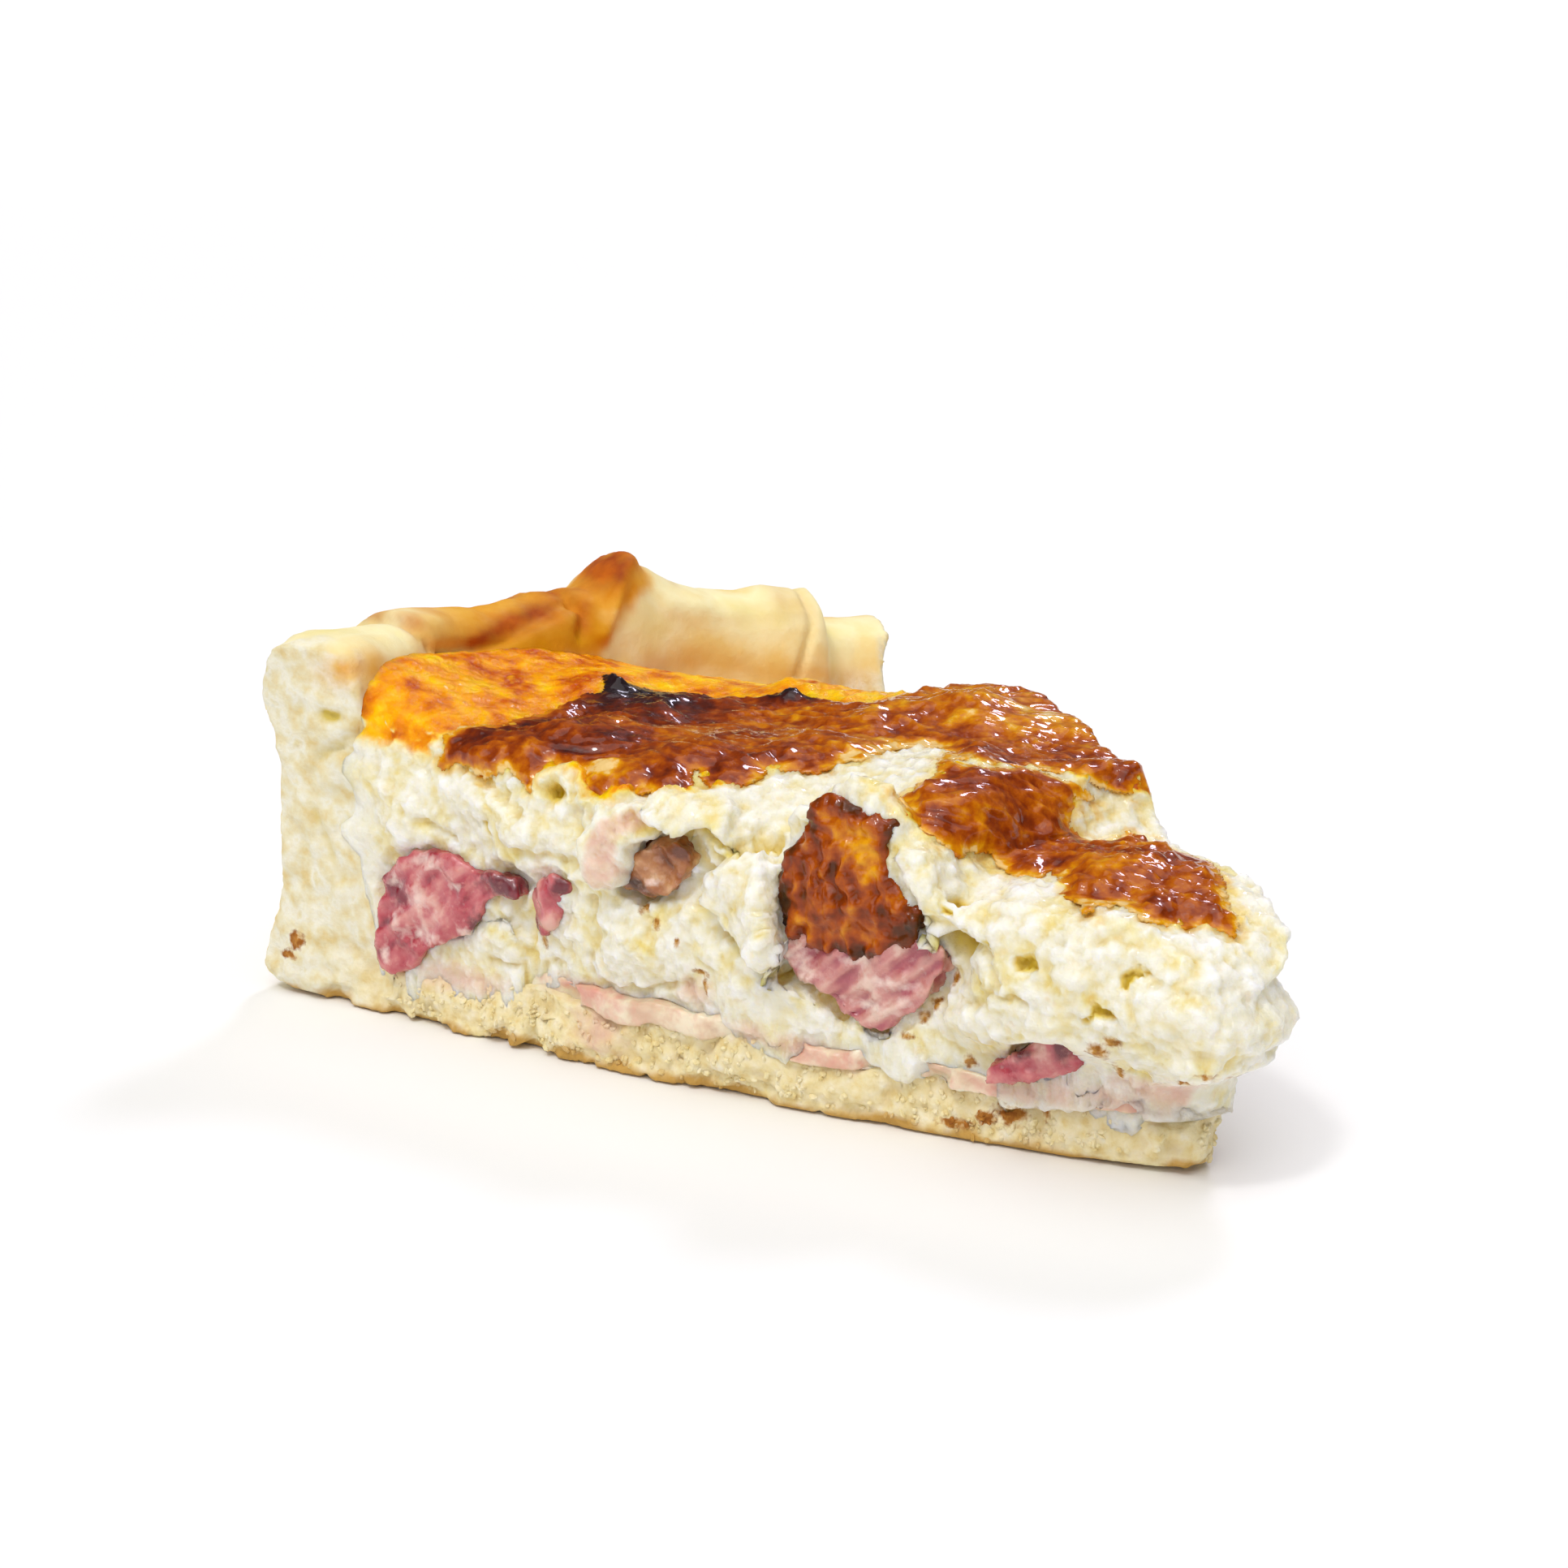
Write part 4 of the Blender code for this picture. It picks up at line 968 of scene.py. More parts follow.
def thick_sheet(thing):
    mesh = thing.data
    points, normals = points_of(mesh), normals_of(mesh)
    inside = recall(mesh, "inside")
    first, second = on_skin(points)
    level = np.zeros(len(points))
    wander = np.column_stack([rough(points, 9.0, 1, 1.0), rough(points, 9.0, 1, 8.0), level])
    grain = np.column_stack([first * 0.6, second * 1.2, points[:, 2] * 0.8]) + 3.0 * wander
    folds = ridges(grain, 6.0, 2, 3.0)
    creases = ridges(grain, 1.9, 3, 9.0)
    crumple = rough(points, 7.0, 2, 4.0)
    peaks = sum(
        lift * np.exp(-((first - s) ** 2 + (second - w) ** 2) / size**2) for s, w, size, lift in BURNT_PEAKS
    )
    full = ramp(0.0, 2.6, inside)
    lift = 0.02 + full * (0.10 + 0.95 * folds + 0.62 * creases + 0.50 * crumple + peaks)
    sink = 0.25 + 0.35 * full
    top, under = points + normals * lift[:, None], points - normals * sink[:, None]
    faces = [tuple(p.vertices) for p in mesh.polygons]
    count = {}
    for face in faces:
        for a, b in zip(face, face[1:] + face[:1]):
            count[(a, b)] = count.get((a, b), 0) + 1
    rim = [(a, b) for a, b in count if (b, a) not in count]
    size = len(points)
    solid = faces + [tuple(v + size for v in reversed(face)) for face in faces]
    solid += [(b, a, a + size, b + size) for a, b in rim]
    closed = bpy.data.meshes.new(thing.name)
    closed.from_pydata((np.vstack([top, under]) * MM).tolist(), [], solid)
    thing.data = closed
    closed.shade_smooth()
    for name, values in (("inside", inside), ("fold", folds * 0.6 + creases * 0.4)):
        remember(closed, name, np.concatenate([values, values]))
    remember(closed, "outside", np.concatenate([np.ones(size), np.zeros(size)]))
    print("skin sheet", len(closed.vertices), "vertices,", len(rim), "edges round the rim")


thick_sheet(skin)

# %% [markdown]
# How brown each place is decides its colour, from soft yellow at a thin edge through amber and red-brown to
# the nearly black peaks that stood closest to the heat. It is kept as one number a vertex, which also holds
# painted shade: the creases between the wrinkles are made browner.

# %% Skin browning
# distance along, distance in, width, how much browner
BROWN_SPOTS = (
    (88.0, 28.4, 4.6, 0.60),
    (84.0, 26.0, 6.0, 0.26),
    (68.6, 36.4, 3.0, 0.45),
    (90.0, 4.0, 4.0, 0.14),
    (80.0, 27.0, 9.0, 0.24),
    (84.0, 10.0, 8.0, 0.18),
    (73.0, 0.5, 3.0, -0.26),
    (46.0, 40.0, 16.0, -0.16),
    (66.5, -1.5, 2.5, 0.10),
    (50.0, 18.0, 7.0, -0.10),
    (73.0, 2.2, 2.2, -0.10),
    (34.0, 6.0, 6.0, -0.10),
    (21.0, 12.0, 7.0, -0.02),
    (14.0, 2.0, 6.0, -0.06),
    (96.0, 6.0, 6.0, -0.16),
)


def skin_relief():
    mesh = skin.data
    points = points_of(mesh)
    inside, fold, outside = recall(mesh, "inside"), recall(mesh, "fold"), recall(mesh, "outside")
    first, second = on_skin(points)
    burn = 0.36 + 0.15 * rough(points, 7.0, 3, 11.0) + 0.08 * rough(points, 1.9, 2, 5.0)
    # painted shade: the creases between the wrinkles are made browner
    burn += 0.40 * (0.45 - fold)
    for s, w, size, more in BROWN_SPOTS:
        burn += more * np.exp(-((first - s) ** 2 + (second - w) ** 2) / size**2)
    burn -= 0.30 * (1 - ramp(0.0, 2.0, inside))
    remember(mesh, "burn", np.clip(burn, 0, 1))
    blistered = 0.35 + 0.9 * ramp(30.0, 20.0, first)
    amount = outside * ramp(0.2, 1.4, inside) * blistered
    add_relief(
        skin, amount, Lump_size=4.0, Lump_depth=0.25, Curd_size=1.5, Curd_depth=0.30, Grain_size=0.9,
        Grain_depth=0.22, Seed=5.0,
    )
    skin.data.shade_smooth()


skin_relief()

# %% [markdown]
# ## The pastry
#
# Rich shortcrust is baked butter and flour: sandy crumb where it is cut, smooth and matt where the oven saw
# it. Its rim was folded over by hand, so it carries soft dents. The remesher works on a copy of the CAD
# shell, and the relief is strong on the cuts, gentle on the rim and nothing at all on the flat underside.

# %% Pastry folds
# one degree of the rim is about two millimetres
RIM_DEGREE = 2.0
# width, depth, then angle from the middle of the slice and height along each fold of the rim's inner side
RIM_FOLDS = (
    (0.9, -1.1, (-13.5, 38.0), (-9.8, 38.6), (-6.8, 39.6), (-3.9, 40.4), (-2.2, 41.4)),
    (0.8, -0.9, (-2.2, 41.4), (-1.9, 40.0), (-2.6, 37.5)),
    (1.0, 1.0, (-0.9, 37.5), (0.4, 40.5), (1.6, 43.4), (2.8, 45.0)),
    (1.3, 0.7, (-15.5, 41.0), (-11.0, 41.4), (-6.0, 42.2)),
    (0.7, -0.8, (15.7, 38.5), (15.6, 35.5), (14.8, 32.0), (14.2, 29.0)),
    (0.6, -0.9, (-15.0, 43.5), (-14.8, 41.0), (-14.4, 38.6)),
    (1.6, 0.5, (5.0, 40.5), (9.0, 38.6), (13.0, 38.4)),
)


# angle, how much higher the folded crest is than in the plain shell
CREST_LIFT = (
    (-22.5, 1.3), (-19.5, 1.3), (-16.9, 0.2), (-15.8, -0.7), (-15.2, -1.1), (-14.7, 0.4), (-12.9, 0.2),
    (-8.4, -0.9), (-6.4, 0.1), (-3.7, 0.8), (-0.4, -0.9), (1.0, 0.3), (2.3, 0.6), (3.6, -0.6), (4.7, -1.0),
    (6.2, -1.0), (7.4, -0.7), (9.3, 0.1), (11.3, -0.2), (13.2, 0.0), (16.5, 0.0), (17.7, -0.5),
    (18.3, -0.7), (19.5, 0.0), (22.5, 0.0),
)


def pastry_relief():
    mesh = pastry.data
    points, normals = points_of(mesh), normals_of(mesh)
    reach, angle = polar(points)
    distance = on_cut(points, NEAR)[0]
    near_depth, far_depth = cut_depths(points)
    cut = ramp(0.35, 0.7, np.maximum(normals @ outward(NEAR), normals @ outward(FAR)))
    cut *= np.maximum(ramp(3.0, 1.8, np.minimum(near_depth, far_depth)), ramp(96.0, 92.0, reach))
    cut = np.maximum(cut, ramp(0.8, 0.5, np.abs(normals[:, 2])) * ramp(98.0, 94.0, reach))
    # the knife also pulled crumb out of the rim's top beside the near cut
    pulled = ramp(5.0, 1.0, near_depth + 2.5 * rough(points, 4.0, 3, 15.0)) * ramp(36.0, 38.0, points[:, 2])
    cut = np.maximum(cut, 0.8 * pulled * ramp(100.0, 104.0, reach))
    flat = ramp(0.3, 1.2, points[:, 2])
    push = 0.45 * rough(points, 16.0, 2, 2.0) * ramp(36.0, 41.0, points[:, 2]) * (1 - cut)
    inner = (reach < 117.0) & (reach > 100.0) & (points[:, 2] > 26.0) & (cut < 0.5)
    radial = away_from_tip(points)
    facing = ramp(0.5, 0.0, (normals * radial).sum(axis=1))
    for wide, deep, *line in RIM_FOLDS:
        run = [(a * RIM_DEGREE, z) for a, z in line]
        away = line_distance(angle[inner] * RIM_DEGREE, points[inner, 2], run)
        push[inner] += deep * facing[inner] * bump(away, wide)
    picked = (near_depth < 2.5) & (distance > 95.0) & (normals @ outward(NEAR) > 0.3)
    face_push, hollow = near_face_push(distance[picked], points[picked, 2], np.zeros((picked.sum(), 2)))
    push[picked] += face_push
    all_hollow = np.zeros(len(points))
    all_hollow[picked] = hollow
    # the crumb rises raggedly against the ham layer
    edge = np.minimum(near_depth, far_depth)
    rise = np.zeros(len(points))
    low = (points[:, 2] > 2.0) & (points[:, 2] < 9.0)
    low &= (edge < 4.0) & (normals[:, 2] > -0.2) & (reach < 101.0)
    closed = 1 - layer_shown(points[low])
    ragged = np.clip(rough(points[low], 4.0, 3, 3.0), -0.3, 1.0)
    rise[low] = 0.6 + 1.3 * closed + (0.5 + 0.7 * closed) * ragged
    rise[low] += layer_wave(points[low])
    rise *= ramp(-0.2, 0.5, normals[:, 2]) * ramp(4.0, 2.0, edge)
    place = points + normals * (push * flat)[:, None]
    place[:, 2] += rise + follow(CREST_LIFT, angle) * ramp(33.0, 41.0, points[:, 2])
    # the near end of the rim has crumbled round
    worn = ramp(-16.5, -20.5, angle) * ramp(32.0, 39.0, points[:, 2])
    place[:, 2] -= worn * (1.0 * ramp(3.5, 0.0, near_depth) + 1.8 * ramp(115.5, 119.0, reach))
    bulge = 0.9 * ramp(29.0, 35.0, points[:, 2]) * ramp(-15.0, -19.0, angle) * ramp(112.0, 116.0, reach)
    place += radial * bulge[:, None]
    # crumbs have dropped off the lower edge of the cuts
    chipped = ramp(2.4, 0.2, points[:, 2]) * ramp(2.0, 0.4, edge) * (reach < 112.0)
    chipped *= np.clip(1.5 * rough(points, 4.5, 3, 14.0) + 0.35, 0.0, 1.4)
    place[:, 2] += 0.8 * chipped
    inward = -np.where((near_depth < far_depth)[:, None], outward(NEAR), outward(FAR))
    place += inward * (0.7 * chipped)[:, None]
    move(mesh, place)
    remember(mesh, "cut", cut)
    remember(mesh, "hollow", all_hollow)
    coarse = 0.87 + 0.5 * ramp(9.0, 6.5, points[:, 2]) - 0.30 * ramp(98.0, 104.0, reach)
    amount = flat * (0.13 + cut * coarse)
    add_relief(
        pastry, amount, Lump_size=5.0, Lump_depth=0.6, Curd_size=2.4, Curd_depth=0.5, Grain_size=1.4,
        Grain_depth=0.35, Warp=1.2, Seed=8.0,
    )
    settled = points_of(pastry.data)
    settled[:, 2] = np.maximum(settled[:, 2], 0.0)
    move(pastry.data, settled)
    pastry.data.shade_smooth()


pastry_relief()

# %% [markdown]
# Where pastry is broken it sheds crumbs that cling to the cut. A second geometry node tree scatters small
# rough grains over the cut faces, each with its own size and turn, half sunk into the surface.

# %% Crumb tree
def crumb_tree():
    tree = new_tree("pastry crumbs", (("Crumbs per square millimetre", 1.0), ("Crumb size", 0.4)))
    face = tree.interface
    face.new_socket("Seed", in_out="INPUT", socket_type="NodeSocketInt").default_value = 1
    face.new_socket("Material", in_out="INPUT", socket_type="NodeSocketMaterial")
    given = add_node(tree, "NodeGroupInput").outputs
    where = kept_number(tree, "crumbly")
    per_metre = maths(tree, "MULTIPLY", given["Crumbs per square millimetre"], 1 / MM**2)
    density = maths(tree, "MULTIPLY", per_metre, where)

    def dice(low, high, seed):
        links = [("Min", low), ("Max", high), ("Seed", seed)]
        return add_node(tree, "FunctionNodeRandomValue", links, data_type="FLOAT_VECTOR").outputs[0]

    spots = add_node(
        tree, "GeometryNodeDistributePointsOnFaces",
        [("Mesh", given["Geometry"]), ("Density", density), ("Seed", given["Seed"])],
    )
    radius = maths(tree, "MULTIPLY", given["Crumb size"], MM)
    ball = [("Radius", radius), ("Subdivisions", 1)]
    grain = add_node(tree, "GeometryNodeMeshIcoSphere", ball).outputs[0]
    turn = dice((0.0, 0.0, 0.0), (6.3, 6.3, 6.3), 0)
    stretch = dice((0.4, 0.4, 0.3), (1.3, 1.1, 0.8), 5)
    set_down = add_node(
        tree, "GeometryNodeInstanceOnPoints",
        [("Points", spots.outputs[0]), ("Instance", grain), ("Rotation", turn), ("Scale", stretch)],
    ).outputs[0]
    real = add_node(tree, "GeometryNodeRealizeInstances", [("Geometry", set_down)]).outputs[0]
    painted = add_node(
        tree, "GeometryNodeSetMaterial", [("Geometry", real), ("Material", given["Material"])]
    ).outputs[0]
    add_node(tree, "NodeGroupOutput", [("Geometry", painted)])
    return tree

# %% [markdown]
# ## Ham and bacon
#
# Each bit of ham keeps its own solid. Cooked ham is muscle: bundles of fibre that split apart a little
# where the knife crossed them. The noise that makes the grooves is squeezed across the fibre and stretched
# along it.

# %% Meat
# name, squares in millimetres, direction of the fibre in (along the cut, up), depth of the grooves, seed
MEAT = (
    ("ham_near_rim", 0.30, (0.8, -0.6), 0.22, 1.0),
    ("ham_near_sliver", 0.24, (0.35, 0.95), 0.24, 2.0),
    ("browned_lardon", 0.26, (0.8, 0.5), 0.30, 3.0),
    ("ham_near_middle", 0.28, (-0.78, 0.62), 0.42, 4.0),
    ("ham_near_tip", 0.26, (0.9, -0.3), 0.28, 5.0),
    ("ham_far_rim", 0.34, (0.8, 0.4), 0.30, 6.0),
    ("ham_far_middle", 0.34, (0.5, 0.8), 0.30, 7.0),
    ("ham_far_tip", 0.34, (0.9, -0.3), 0.28, 8.0),
)


# how far each outlined piece reaches into the cut
MEAT_DEPTH = 5.5


def fibre_noise(points, side, lean, size, shift):
    """Noise drawn out along the fibre, about -1 to 1."""
    distance, depth = on_cut(points, side)
    run = distance * lean[0] + points[:, 2] * lean[1]
    across = distance * lean[1] - points[:, 2] * lean[0]
    return rough(np.column_stack([run / 6.0, across, depth]), size, 3, shift)


def meat_piece(name, voxel, lean, groove, seed):
    side = FAR if "far" in name else NEAR
    solid = nodes[name].data
    if name in MEAT_OUTLINES:
        proud, outline = MEAT_OUTLINES[name]
        solid = cut_slab(outline, side, proud - MEAT_DEPTH, proud)
    thing = wrapped(name + "_meat", [solid], voxel, rounds=6)
    mesh = thing.data
    points, normals = points_of(mesh), normals_of(mesh)
    fibre = fibre_noise(points, side, lean, 1.5, seed)
    shown = ramp(0.0, 0.5, normals @ outward(side))
    face = 0.55 + 0.45 * shown
    ragged = (1 - shown) * (0.5 * rough(points, 2.4, 3, seed) + 0.1)
    swell = 0.2 + 0.5 * rough(points, 3.6, 2, seed + 3.0)
    move(mesh, points + normals * (groove * fibre * face + swell * shown + ragged)[:, None])
    remember(mesh, "fibre", fibre * 0.5 + 0.5)
    add_relief(
        thing, face, Lump_size=4.0, Lump_depth=0.35, Curd_size=2.0, Curd_depth=0.12, Grain_size=0.7,
        Grain_depth=0.10, Seed=seed,
    )
    thing.data.shade_smooth()
    return thing


meat = {name: meat_piece(name, voxel, lean, groove, seed) for name, voxel, lean, groove, seed in MEAT}

# %% [markdown]
# The thin slices on the base are one layer, softer and paler than the chunks, with fat in it. The flap is a
# scrap of the browned top that fell forward over the cut.

# %% Ham layer and fallen flap
ham_layer = wrapped("ham_layer_slices", [nodes["ham_layer"].data], voxel=0.42, rounds=5)
layer_points = points_of(ham_layer.data)
layer_run = np.column_stack([layer_points[:, 0] / 3.0, layer_points[:, 1] / 3.0, layer_points[:, 2]])
remember(ham_layer.data, "fibre", rough(layer_run, 1.6, 3, 4.0) * 0.5 + 0.5)
layer_edge = np.minimum(*cut_depths(layer_points))
layer_points[:, 2] += layer_wave(layer_points) * ramp(6.0, 3.0, layer_edge)
# draw it back from the cuts, further where curd and crumb close over it
layer_back = (-0.4 + 2.0 * (1 - layer_shown(layer_points))) * ramp(6.0, 2.0, layer_edge)
near_closer = on_cut(layer_points, NEAR)[1] < on_cut(layer_points, FAR)[1]
layer_points -= np.where(near_closer[:, None], outward(NEAR), outward(FAR)) * layer_back[:, None]
move(ham_layer.data, tucked(layer_points, 14.0, 11.0, 1.3))
add_relief(
    ham_layer, ramp(8.0, 4.0, layer_edge), Lump_size=5.0, Lump_depth=0.7, Curd_size=2.6, Curd_depth=0.4,
    Grain_size=1.2, Grain_depth=0.25, Warp=1.0, Seed=12.0,
)
ham_layer.data.shade_smooth()

FLAP_OUTLINE = [
    (45.3, 32.9), (43.8, 34.2), (42.2, 34.4), (40.3, 33.6), (39.8, 32.8), (39.0, 33.0), (38.2, 33.3),
    (37.3, 32.8), (36.0, 32.1), (35.8, 31.4), (36.3, 30.9), (36.5, 29.3), (36.1, 27.3), (35.5, 26.2),
    (34.3, 24.9), (33.1, 23.9), (32.8, 22.9), (33.2, 21.6), (33.9, 20.4), (36.7, 19.1), (39.9, 17.9),
    (42.7, 18.3), (45.5, 18.3), (46.9, 18.5), (47.9, 19.2), (48.5, 20.8), (49.0, 23.3), (48.7, 25.9),
    (47.9, 28.1), (46.1, 30.0), (45.7, 31.3),
]
# distance from the tip, height, half width, half height, how much browner
FLAP_SPOTS = (
    (39.4, 30.0, 2.6, 3.0, -0.18), (44.0, 32.6, 0.9, 0.9, -0.22), (46.0, 29.6, 1.2, 1.4, -0.08),
    (48.2, 23.0, 1.2, 4.5, 0.16), (43.4, 25.0, 2.2, 3.0, 0.04), (36.4, 24.6, 1.6, 3.4, 0.04),
    (33.4, 22.6, 1.0, 2.0, 0.16), (36.2, 31.0, 0.8, 2.2, 0.14), (44.6, 31.4, 0.8, 2.4, 0.18),
    (40.6, 33.6, 2.0, 0.8, 0.16), (41.0, 19.0, 6.0, 1.0, 0.10), (40.0, 21.5, 1.2, 1.6, -0.10),
    (46.0, 20.4, 0.9, 1.4, -0.08), (37.6, 27.6, 1.0, 2.0, -0.10),
)


def fallen_flap():
    slab = cut_slab(FLAP_OUTLINE, NEAR, inner=-1.6, outer=0.9)
    thing = wrapped("fallen_flap", [slab], voxel=0.26, rounds=4)
    mesh = thing.data
    points, normals = points_of(mesh), normals_of(mesh)
    distance = on_cut(points, NEAR)[0]
    edge = edge_distance(distance, points[:, 2], FLAP_OUTLINE)
    shown = ramp(0.1, 0.6, normals @ outward(NEAR))
    wander = 0.5 * rough(points, 3.0, 2, 2.0)
    fan = (distance - 40.5) * (1 + 0.02 * (points[:, 2] - 26.0)) + wander
    lower = ramp(31.0, 26.0, points[:, 2])
    folds = ridges(np.column_stack([fan, points[:, 2] * 0.3, 0 * fan]), 1.9, 2, 6.0)
    crumple = ridges(np.column_stack([distance, points[:, 2], 0 * fan]), 3.4, 2, 2.0)
    torn = rough(points, 1.6, 3, 4.0)
    dome = 1.5 * ramp(-0.2, 4.5, edge) + 0.6 * bump(edge - 0.8, 0.8)
    push = shown * (dome + lower * 1.2 * folds + (1 - 0.5 * lower) * 1.1 * crumple - 0.8)
    move(mesh, points + normals * (push + (1 - shown) * 0.45 * torn)[:, None])
    burn = 0.34 + 0.14 * rough(points, 3.0, 3, 1.0)
    # painted shade: the valleys of the folds and crumples are made browner
    burn = burn + 0.50 * (0.42 - folds) * lower + 0.20 * (0.42 - crumple)
    for place, level, wide, tall, more in FLAP_SPOTS:
        away = ((distance - place) / wide) ** 2 + ((points[:, 2] - level) / tall) ** 2
        burn += 1.3 * more * np.exp(-away)
    burn += 0.10 * bump(edge, 0.7)
    remember(mesh, "burn", np.clip(burn, 0, 1))
    add_relief(
        thing, shown, Lump_size=3.0, Lump_depth=0.3, Curd_size=1.3, Curd_depth=0.40, Grain_size=0.8,
        Grain_depth=0.3, Warp=0.6, Seed=14.0,
    )
    thing.data.shade_smooth()
    return thing


flap = fallen_flap()

# %% [markdown]
# ## What the custard's surface wears
#
# Round the brown skin the custard is stained yellow by the heat, and close to the rim it carries a shiny
# orange glaze of egg. Those are two more numbers a vertex.

# %% Custard stain and glaze
def custard_colours():
    mesh = custard.data
    points, normals = points_of(mesh), normals_of(mesh)
    reach, angle = polar(points)
    second = on_skin(points)[1]
    upper = points[:, 2] > 15.0
    inside = np.full(len(points), -9.0)
    inside[upper] = skin_distance(points[upper], normals[upper])
    beyond = reach - follow(RIMWARD, angle)
    glaze = ramp(-2.0, 1.0, beyond) * ramp(-0.2, 0.4, normals[:, 2])
    far_distance, far_depth = on_cut(points, FAR)
    below = np.interp(far_distance, *FAR_TOP) - points[:, 2] + rough(points, 3.0, 2, 9.0)
    glaze *= np.where(far_depth < 4.0, ramp(3.5, 1.5, below), 1.0)
    glaze *= ramp(-2.6, 1.6, second + 0.7 * rough(points, 3.5, 2, 3.0))
    glaze *= 1 - 0.45 * ramp(-2.0, 10.0, angle)
    glaze = np.maximum(glaze, 0.9 * ramp(0.0, 0.8, inside))
    stain = 0.75 * ramp(-1.8, 0.0, inside + 0.6 * rough(points, 2.0, 2, 6.0))
    stain = stain * ramp(-0.2, 0.2, normals[:, 2])
    remember(mesh, "glaze", glaze)
    remember(mesh, "stain", stain)
    mesh.shade_smooth()


custard_colours()
for thing in (custard, pastry, ham_layer, *meat.values()):
    mark_near_face(thing.data)
for thing in meat.values():
    remember(thing.data, "pink", np.zeros(len(thing.data.vertices)))

# %% [markdown]
# ## Materials
#
# Each material is a small node tree. Colours are written as the sRGB hex numbers that a paint program
# shows, and one function turns them into the linear light that the renderer wants. The sizes in the
# textures are millimetres.

# %% Material helpers
def linear(code):
    parts = [int(code[k : k + 2], 16) / 255 for k in (0, 2, 4)]
    return tuple(c / 12.92 if c <= 0.04045 else ((c + 0.055) / 1.055) ** 2.4 for c in parts) + (1.0,)


class Paint:
    """A material's node tree with short words for the nodes that food needs."""

    def __init__(self, name, **constants):
        self.material = bpy.data.materials.new(name)
        self.material.use_nodes = True
        self.tree = self.material.node_tree
        self.tree.nodes.clear()
        self.shader = add_node(self.tree, "ShaderNodeBsdfPrincipled", list(constants.items()))
        add_node(self.tree, "ShaderNodeOutputMaterial", [("Surface", self.shader.outputs[0])])
        self.place = add_node(self.tree, "ShaderNodeTexCoord").outputs["Object"]

    def add(self, kind, links=(), stops=None, **settings):
        return add_node(self.tree, kind, links, stops, **settings)

    def maths(self, operation, first, second):
        return maths(self.tree, operation, first, second)

    def number(self, name):
        return self.add("ShaderNodeAttribute", attribute_name=name).outputs["Fac"]

    def noise(self, size, detail=3.0):
        links = [("Vector", self.place), ("Scale", 1000.0 / size), ("Detail", detail)]
        return self.add("ShaderNodeTexNoise", links).outputs[0]

    def colours(self, value, *stops):
        """A ramp of (place, hex) stops."""
        made = [(place, linear(code)) for place, code in stops]
        return self.add("ShaderNodeValToRGB", [("Fac", value)], made).outputs[0]

    def spread(self, value, low, high, new_low=0.0, new_high=1.0):
        links = [(0, value), (1, low), (2, high), (3, new_low), (4, new_high)]
        return self.add("ShaderNodeMapRange", links).outputs[0]

    def broken(self, name, size, low=0.42, high=0.58, amount=0.5):
        """An attribute whose soft edge is broken up by noise into a crisp ragged one."""
        wobble = self.spread(self.noise(size, 4.0), 0.3, 0.7, -amount / 2, amount / 2)
        return self.spread(self.maths("ADD", self.number(name), wobble), low, high)

    def blend(self, share, first, second):
        return self.add("ShaderNodeMix", [(0, share), (6, first), (7, second)], data_type="RGBA").outputs[2]

    def give(self, **sources):
        for key, source in sources.items():
            self.tree.links.new(source, self.shader.inputs[key.replace("_", " ")])

    def bumps(self, height, strength, depth):
        links = [("Height", height), ("Strength", strength), ("Distance", depth * MM)]
        self.give(Normal=self.add("ShaderNodeBump", links).outputs[0])
